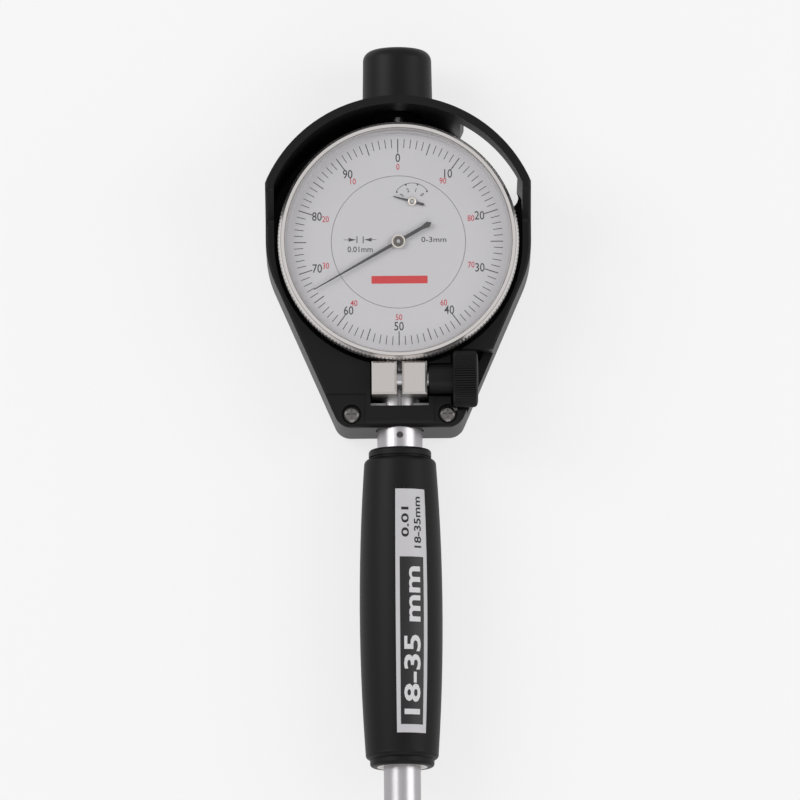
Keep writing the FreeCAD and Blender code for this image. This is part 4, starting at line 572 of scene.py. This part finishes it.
# --------------------------------------------------------------------- the dial
@dataclass
class DialPrint:
    """The printing of the outer dial and of the dial's fixed centre."""

    finishes: Finishes
    front: float = 22.1 * MM
    lift: float = 0.02 * MM
    outer: float = 25.4 * MM
    short: float = 2.2 * MM
    half: float = 3.0 * MM
    long: float = 3.4 * MM
    thin: float = 0.17 * MM
    thick: float = 0.21 * MM
    numeral_radius: float = 20.75 * MM
    numeral_height: float = 2.15 * MM
    red_radius: float = 18.55 * MM
    red_height: float = 1.5 * MM
    counter: tuple[float, float] = COUNTER_CENTRE
    counter_radius: float = 4.55 * MM
    counter_line: float = 0.13 * MM
    counter_span: tuple[float, float] = (-57.0, 55.0)
    boss_seat: float = 22.5 * MM
    rise: float = 0.004 * MM
    mark: tuple[float, float] = (-9.3 * MM, 0.6 * MM)
    unit_y: float = -1.75 * MM
    travel: tuple[float, float] = (8.6 * MM, 0.55 * MM)
    bar_middle: tuple[float, float] = (0.2 * MM, -9.3 * MM)
    bar_height: float = 1.9 * MM
    bar_width: float = 13.6 * MM

    @property
    def level(self) -> float:
        """Height of the print's surface."""
        return self.front + self.lift

    def ring_of_bars(self, shape: bmesh.types.BMesh, count: int, length: float, width: float,
                     rise: float) -> None:
        """Adds divisions all round.

        Args:
            shape: The bmesh that they go into.
            count: How many.
            length: Their length.
            width: Their width.
            rise: Extra height, so that long bars lie over short ones.
        """
        place = Matrix.Translation((0.0, self.outer - length / 2, self.level + rise))
        first = add_bar(shape, length, width, place)
        faces = list({face for vertex in first for face in vertex.link_faces})
        edges = list({edge for vertex in first for edge in vertex.link_edges})
        bmesh.ops.spin(shape, geom=first + edges + faces, cent=(0, 0, 0), axis=(0, 0, 1),
                       dvec=(0, 0, 0), angle=math.tau * (count - 1) / count, steps=count - 1,
                       use_merge=False, use_duplicate=True)

    def divisions(self) -> None:
        """The hundred divisions."""
        shape = bmesh.new()
        self.ring_of_bars(shape, 100, self.short, self.thin, 0.0)
        self.ring_of_bars(shape, 20, self.half, self.thick, self.rise)
        self.ring_of_bars(shape, 10, self.long, self.thick * 1.1, 2 * self.rise)
        add_piece("dial_divisions", shape, self.finishes.black_ink, "bezel")

    def numerals(self) -> None:
        """Both rings of numerals, black clockwise and red the other way."""
        black = bmesh.new()
        red = bmesh.new()
        for index in range(10):
            degrees = 36.0 * index
            at = clock(self.numeral_radius, degrees, self.level)
            add_text(black, str(10 * index), self.numeral_height, Matrix.Translation(at), 0.82)
            inner = clock(self.red_radius, degrees, self.level)
            add_text(red, str((100 - 10 * index) % 100), self.red_height,
                     Matrix.Translation(inner), 0.82)
        add_piece("dial_numerals", black, self.finishes.black_ink, "bezel")
        add_piece("dial_red_numerals", red, self.finishes.red_ink, "bezel")

    def counter_scale(self, shape: bmesh.types.BMesh) -> None:
        """Adds the small scale of the turn counter."""
        base = Vector((*self.counter, self.level))
        start, end = self.counter_span
        step = (end - start) / 3
        low = clock(self.counter_radius, end, 0.0) + base
        outward = (low - base).normalized() * self.counter_line
        points = [shape.verts.new(low), shape.verts.new(low + outward)]
        edge = shape.edges.new(points)
        bmesh.ops.spin(shape, geom=points + [edge], cent=base, axis=(0, 0, 1), dvec=(0, 0, 0),
                       angle=math.radians(end - start), steps=28, use_merge=False)
        for index in range(4):
            degrees = start + step * index
            turn = Matrix.Rotation(-math.radians(degrees), 4, "Z")
            tick = Matrix.Translation(base) @ turn
            tip = bmesh.ops.create_circle(shape, segments=3, radius=0.34 * MM, cap_ends=True)
            point_in = Matrix.Rotation(math.pi, 4, "Z")
            place = tick @ Matrix.Translation((0.0, self.counter_radius - 0.15 * MM, 0.0))
            bmesh.ops.transform(shape, matrix=place @ point_in, verts=tip["verts"])
            letter = tick @ Matrix.Translation((0.0, self.counter_radius - 1.55 * MM, 0.0))
            add_text(shape, str(3 - index), 1.0 * MM, letter, 0.8, weight=0.02)

    def unit_mark(self, shape: bmesh.types.BMesh) -> None:
        """Adds the sign for the value of one division, and its number."""
        x0, y0 = self.mark
        for side in (-1, 1):
            upright = Matrix.Translation((x0 + side * 0.75 * MM, y0, self.level))
            add_bar(shape, 1.7 * MM, 0.22 * MM, upright)
            shaft = Matrix.Translation((x0 + side * 2.5 * MM, y0, self.level))
            add_bar(shape, 0.13 * MM, 2.9 * MM, shaft)
            head = bmesh.ops.create_circle(shape, segments=3, radius=1.0 * MM, cap_ends=True)
            aim = Matrix.Rotation(side * math.pi / 2, 4, "Z") @ Matrix.Diagonal((0.55, 1.2, 1.0, 1.0))
            at = Matrix.Translation((x0 + side * 2.2 * MM, y0, self.level + 0.003 * MM))
            bmesh.ops.transform(shape, matrix=at @ aim, verts=head["verts"])
        add_text(shape, "0.01mm", 1.45 * MM, Matrix.Translation((x0, self.unit_y, self.level)), 0.95)
        add_text(shape, "0-3mm", 1.3 * MM, Matrix.Translation((*self.travel, self.level)), 1.2)

    def centre(self) -> None:
        """The fixed centre's print, with a plain bar where a name might be."""
        shape = bmesh.new()
        self.counter_scale(shape)
        self.unit_mark(shape)
        bmesh.ops.recalc_face_normals(shape, faces=shape.faces[:])
        for face in shape.faces:
            if face.normal.z < 0:
                face.normal_flip()
        add_piece("dial_centre_print", shape, self.finishes.black_ink, "gauge_body")
        bar = bmesh.new()
        middle = Matrix.Translation((*self.bar_middle, self.level))
        add_bar(bar, self.bar_height, self.bar_width, middle)
        add_piece("dial_red_bar", bar, self.finishes.red_bar, "gauge_body")

    def counter_boss(self) -> None:
        """The turned boss that holds the counter hand on its arbor."""
        shape = bmesh.new()
        base = Vector((*self.counter, self.boss_seat))
        profile = [(1.05, 0.0), (1.05, 0.12), (0.92, 0.2), (0.66, 0.2), (0.6, 0.12), (0.0, 0.1)]
        verts = [shape.verts.new(base + Vector((r * MM, 0.0, z * MM))) for r, z in profile]
        edges = [shape.edges.new(pair) for pair in zip(verts, verts[1:])]
        bmesh.ops.spin(shape, geom=verts + edges, cent=base, axis=(0, 0, 1), dvec=(0, 0, 0),
                       angle=math.tau, steps=48, use_merge=True)
        bmesh.ops.remove_doubles(shape, verts=shape.verts[:], dist=1e-7)
        bmesh.ops.recalc_face_normals(shape, faces=shape.faces[:])
        add_piece("counter_hand_boss", shape, self.finishes.counter_boss, "counter_arbor",
                  smooth=True)

    def build(self) -> None:
        """Makes every printed piece."""
        self.counter_boss()
        self.divisions()
        self.numerals()
        self.centre()


# --------------------------------------------------------------------- the knob
@dataclass
class ClampKnob:
    """The clamp's knob with its plain hub and fine grooves."""

    finishes: Finishes
    axis_y: float = -33.6 * MM
    axis_z: float = 20.8 * MM
    start: float = 7.05 * MM
    head: float = 12.95 * MM
    end: float = 19.05 * MM
    hub_radius: float = 3.55 * MM
    radius: float = 6.9 * MM
    grooves: int = 72
    depth: float = 0.28 * MM
    socket: float = 2.02 * MM
    socket_depth: float = 7.4 * MM

    def build(self) -> None:
        """Makes the knob by turning a profile and pulling in every other strip of its rim."""
        shape = bmesh.new()
        profile = [
            (self.start, self.socket), (self.start, self.hub_radius - 0.3 * MM),
            (self.start + 0.3 * MM, self.hub_radius), (self.head, self.hub_radius),
            (self.head, self.radius - 0.9 * MM), (self.head + 0.15 * MM, self.radius - 0.35 * MM),
            (self.head + 0.5 * MM, self.radius), (self.end - 1.0 * MM, self.radius),
            (self.end - 0.45 * MM, self.radius - 0.2 * MM), (self.end - 0.12 * MM, self.radius - 0.75 * MM),
            (self.end, self.radius - 1.5 * MM), (self.end, self.radius - 3.2 * MM),
            (self.end - 0.5 * MM, self.radius - 3.6 * MM), (self.end - 0.5 * MM, 0.0),
        ]
        centre = Vector((0.0, self.axis_y, self.axis_z))
        verts = [shape.verts.new(centre + Vector((x, radius, 0.0))) for x, radius in profile]
        edges = [shape.edges.new(pair) for pair in zip(verts, verts[1:])]
        steps = 4 * self.grooves
        bmesh.ops.spin(shape, geom=verts + edges, cent=centre, axis=(1, 0, 0), dvec=(0, 0, 0),
                       angle=math.tau, steps=steps, use_merge=True)
        bmesh.ops.remove_doubles(shape, verts=shape.verts[:], dist=1e-7)
        for vertex in shape.verts:
            self.pull_in(vertex, centre)
        self.close_back(shape)
        bmesh.ops.recalc_face_normals(shape, faces=shape.faces[:])
        piece = add_piece("knob_grooved", shape, self.finishes.by_slot["black_plastic"], "clamp_knob",
                          smooth=True)
        piece.data.set_sharp_from_angle(angle=math.radians(24))
        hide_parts("clamp_knob")

    def pull_in(self, vertex: bmesh.types.BMVert, centre: Vector) -> None:
        """Moves a vertex of the rim inwards where a groove runs."""
        out = Vector((0.0, vertex.co.y - centre.y, vertex.co.z - centre.z))
        if out.length < self.radius - 1.0 * MM or vertex.co.x < self.head + 0.1 * MM:
            return
        turn = math.atan2(out.z, out.y) * self.grooves / math.tau
        share = abs((turn % 1.0) - 0.5) * 2.0
        fade = min(1.0, (out.length - self.radius + 1.0 * MM) / (0.6 * MM))
        vertex.co -= out.normalized() * self.depth * fade * (1.0 - min(1.0, share * 1.6))

    def close_back(self, shape: bmesh.types.BMesh) -> None:
        """Runs the stud's socket into the hub and closes it."""
        rim = [edge for edge in shape.edges if edge.is_boundary]
        made = bmesh.ops.extrude_edge_only(shape, edges=rim)
        moved = [item for item in made["geom"] if isinstance(item, bmesh.types.BMVert)]
        bmesh.ops.translate(shape, vec=(self.socket_depth, 0.0, 0.0), verts=moved)
        bmesh.ops.holes_fill(shape, edges=[edge for edge in shape.edges if edge.is_boundary])


# -------------------------------------------------------------------- the label
@dataclass
class GripLabel:
    """The printed foil label, wrapped on the barrel of the grip."""

    finishes: Finishes
    middle_y: float = -88.85 * MM
    waist: float = 10.05 * MM
    half_length: float = 35.35 * MM
    top_radius: float = 8.75 * MM
    low_radius: float = 8.85 * MM
    turn: float = math.radians(15.6)
    top: float = -60.6 * MM
    bottom: float = -120.1 * MM
    width: float = 8.1 * MM
    field_top: float = -77.3 * MM
    field_bottom: float = -118.1 * MM
    field_width: float = 6.0 * MM
    small_middle: float = -68.8 * MM
    small_offset: float = 1.6 * MM
    foil_lift: float = 0.06 * MM
    field_lift: float = 0.09 * MM
    range_lift: float = 0.12 * MM

    def radius(self, y: float, lift: float) -> float:
        """The barrel's radius at a height, plus a lift."""
        share = (y - self.middle_y) / self.half_length
        end_radius = self.top_radius if share > 0 else self.low_radius
        return self.waist - (self.waist - end_radius) * share * share + lift

    def wrap(self, shape: bmesh.types.BMesh, lift: float) -> None:
        """Bends a flat layout onto the barrel; X runs across it and Y along it.

        Args:
            shape: The bmesh, flat at Z = 0.
            lift: How far it stands off the barrel.
        """
        for vertex in shape.verts:
            radius = self.radius(vertex.co.y, lift)
            angle = self.turn + vertex.co.x / self.waist
            vertex.co = Vector((radius * math.sin(angle), vertex.co.y, AXIS_Z + radius * math.cos(angle)))

    def panel(self, name: str, width: float, low: float, high: float, lift: float,
              material: bpy.types.Material) -> None:
        """Makes one plain panel of the label."""
        shape = bmesh.new()
        bmesh.ops.create_grid(shape, x_segments=12, y_segments=40, size=0.5)
        place = Matrix.Translation((0.0, (low + high) / 2, 0.0))
        place = place @ Matrix.Diagonal((width, high - low, 1.0, 1.0))
        bmesh.ops.transform(shape, matrix=place, verts=shape.verts[:])
        self.wrap(shape, lift)
        add_piece(name, shape, material, "gauge_body", smooth=True)

    def letters(self, name: str, lines: Sequence[tuple[str, float, float, float, float]],
                lift: float, material: bpy.types.Material) -> None:
        """Makes lettering that reads upwards along the grip.

        Args:
            name: The piece's name.
            lines: Text, across-place, along-place, height and length of each line.
            lift: How far it stands off the barrel.
            material: Its ink.
        """
        shape = bmesh.new()
        upward = Matrix.Rotation(math.pi / 2, 4, "Z")
        for text, across, along, height, length in lines:
            add_text(shape, text, height, Matrix.Translation((across, along, 0.0)) @ upward,
                     length=length, weight=0.022)
        long_edges = [edge for edge in shape.edges if edge.calc_length() > 1.2 * MM]
        bmesh.ops.subdivide_edges(shape, edges=long_edges, cuts=3)
        bmesh.ops.triangulate(shape, faces=shape.faces[:])
        self.wrap(shape, lift)
        add_piece(name, shape, material, "gauge_body")

    def build(self) -> None:
        """Makes the foil, its dark field and generic range numerals."""
        finishes = self.finishes
        self.panel("label_foil", self.width, self.bottom, self.top, self.foil_lift, finishes.foil)
        self.panel("label_field", self.field_width, self.field_bottom, self.field_top, self.field_lift,
                   finishes.label_black)
        middle = (self.field_top + self.field_bottom) / 2
        self.letters("label_range", [("18-35 mm", 0.0, middle, 4.2 * MM, 36.0 * MM)], self.range_lift,
                     finishes.label_white)
        small = [("0.01", -self.small_offset, self.small_middle, 1.9 * MM, 7.4 * MM),
                 ("18-35mm", self.small_offset, self.small_middle, 1.9 * MM, 12.6 * MM)]
        self.letters("label_small_print", small, self.field_lift, finishes.label_black)


# ------------------------------------------------------------------- the studio
@dataclass
class Studio:
    """Floor, soft lamps and the camera over the gauge."""

    tilt: float = 9.37
    roll: float = -0.43
    distance: float = 3.0
    view_width: float = 0.1937
    target: tuple[float, float, float] = (0.0001, -0.0390, 0.0228)
    surround_light: float = 0.36
    surround_seen: float = 0.75
    floor_glow: float = 0.72
    floor_half: float = 3.0
    floor_drop: float = 0.0002

    def camera(self) -> None:
        """Sets a long lens over the gauge, looking down on it a little from below."""
        data = bpy.data.cameras.new("camera")
        data.sensor_width = 36.0
        data.lens = 36.0 * self.distance / self.view_width
        data.clip_end = 20.0
        turn = Matrix.Rotation(math.radians(self.tilt), 4, "X")
        turn = turn @ Matrix.Rotation(math.radians(self.roll), 4, "Z")
        camera = bpy.data.objects.new("camera", data)
        back = turn @ Vector((0.0, 0.0, self.distance))
        camera.matrix_world = Matrix.Translation(Vector(self.target) + back) @ turn
        bpy.context.scene.collection.objects.link(camera)
        bpy.context.scene.camera = camera

    def lamp(self, name: str, place: Vector, size: tuple[float, float], watts: float) -> None:
        """Adds a soft rectangular lamp aimed at the gauge.

        Args:
            name: Its name.
            place: Where it stands.
            size: Its width and height.
            watts: Its power.
        """
        data = bpy.data.lights.new(name, "AREA")
        data.shape = "RECTANGLE"
        data.size, data.size_y = size
        data.energy = watts
        lamp = bpy.data.objects.new(name, data)
        aim = (Vector((0.0, -0.06, 0.0)) - place).to_track_quat("-Z", "Y")
        lamp.matrix_world = Matrix.Translation(place) @ aim.to_matrix().to_4x4()
        bpy.context.scene.collection.objects.link(lamp)

    def world(self) -> None:
        """An even white surround."""
        world = bpy.data.worlds.new("surround")
        world.use_nodes = True
        nodes, links = world.node_tree.nodes, world.node_tree.links
        path = nodes.new("ShaderNodeLightPath")
        shown = nodes.new("ShaderNodeMath")
        shown.operation = "MAXIMUM"
        links.new(path.outputs["Is Camera Ray"], shown.inputs[0])
        links.new(path.outputs["Is Glossy Ray"], shown.inputs[1])
        level = nodes.new("ShaderNodeMapRange")
        level.inputs["To Min"].default_value = self.surround_light
        level.inputs["To Max"].default_value = self.surround_seen
        links.new(shown.outputs[0], level.inputs["Value"])
        nodes["Background"].inputs["Color"].default_value = (1.0, 1.0, 1.0, 1.0)
        links.new(level.outputs["Result"], nodes["Background"].inputs["Strength"])
        bpy.context.scene.world = world

    def floor(self) -> None:
        """A pale floor that reads white and keeps the gauge's shadow."""
        recipe = Recipe("pale_floor")
        recipe.set(Base_Color=(0.86, 0.86, 0.86), Roughness=0.7 + 0.05 * recipe.noise(30.0))
        glow = recipe.node("ShaderNodeEmission", None, {"Color": (1.0, 1.0, 1.0), "Strength": 1.0})
        path = recipe.node("ShaderNodeLightPath")
        seen = Shade(recipe, path.outputs["Is Camera Ray"]) + Shade(recipe, path.outputs["Is Glossy Ray"])
        seen = recipe.maths("MINIMUM", seen + Shade(recipe, path.outputs["Is Transmission Ray"]), 1.0)
        blend = recipe.node("ShaderNodeMixShader", None, {0: seen * self.floor_glow})
        recipe.tree.links.new(recipe.shader.outputs["BSDF"], blend.inputs[1])
        recipe.tree.links.new(glow.outputs["Emission"], blend.inputs[2])
        recipe.tree.links.new(blend.outputs["Shader"], recipe.output.inputs["Surface"])
        shape = bmesh.new()
        bmesh.ops.create_grid(shape, x_segments=1, y_segments=1, size=self.floor_half)
        bmesh.ops.translate(shape, vec=(0.0, 0.0, -self.floor_drop), verts=shape.verts[:])
        mesh = bpy.data.meshes.new("floor")
        shape.to_mesh(mesh)
        shape.free()
        mesh.materials.append(recipe.material)
        floor = bpy.data.objects.new("floor", mesh)
        bpy.context.scene.collection.objects.link(floor)

    def build(self) -> None:
        """Sets up the studio."""
        bpy.context.scene.view_settings.view_transform = "Standard"
        self.camera()
        self.world()
        self.floor()
        self.lamp("left_softbox", Vector((-0.85, 0.35, 0.8)), (0.6, 0.8), 6.0)
        self.lamp("right_softbox", Vector((0.9, 0.1, 0.7)), (0.5, 0.9), 4.0)
        self.lamp("low_fill", Vector((0.1, -0.95, 0.8)), (0.8, 0.5), 2.0)


def main() -> None:
    """Dresses the gauge, builds its fine pieces and sets up the studio."""
    logging.basicConfig(level=logging.INFO, format="%(name)s: %(message)s")
    studio = Studio()
    studio.build()
    finishes = Finishes()
    finishes.dress_nodes()
    DialPrint(finishes).build()
    ClampKnob(finishes).build()
    GripLabel(finishes).build()


if __name__ == "__main__":
    main()
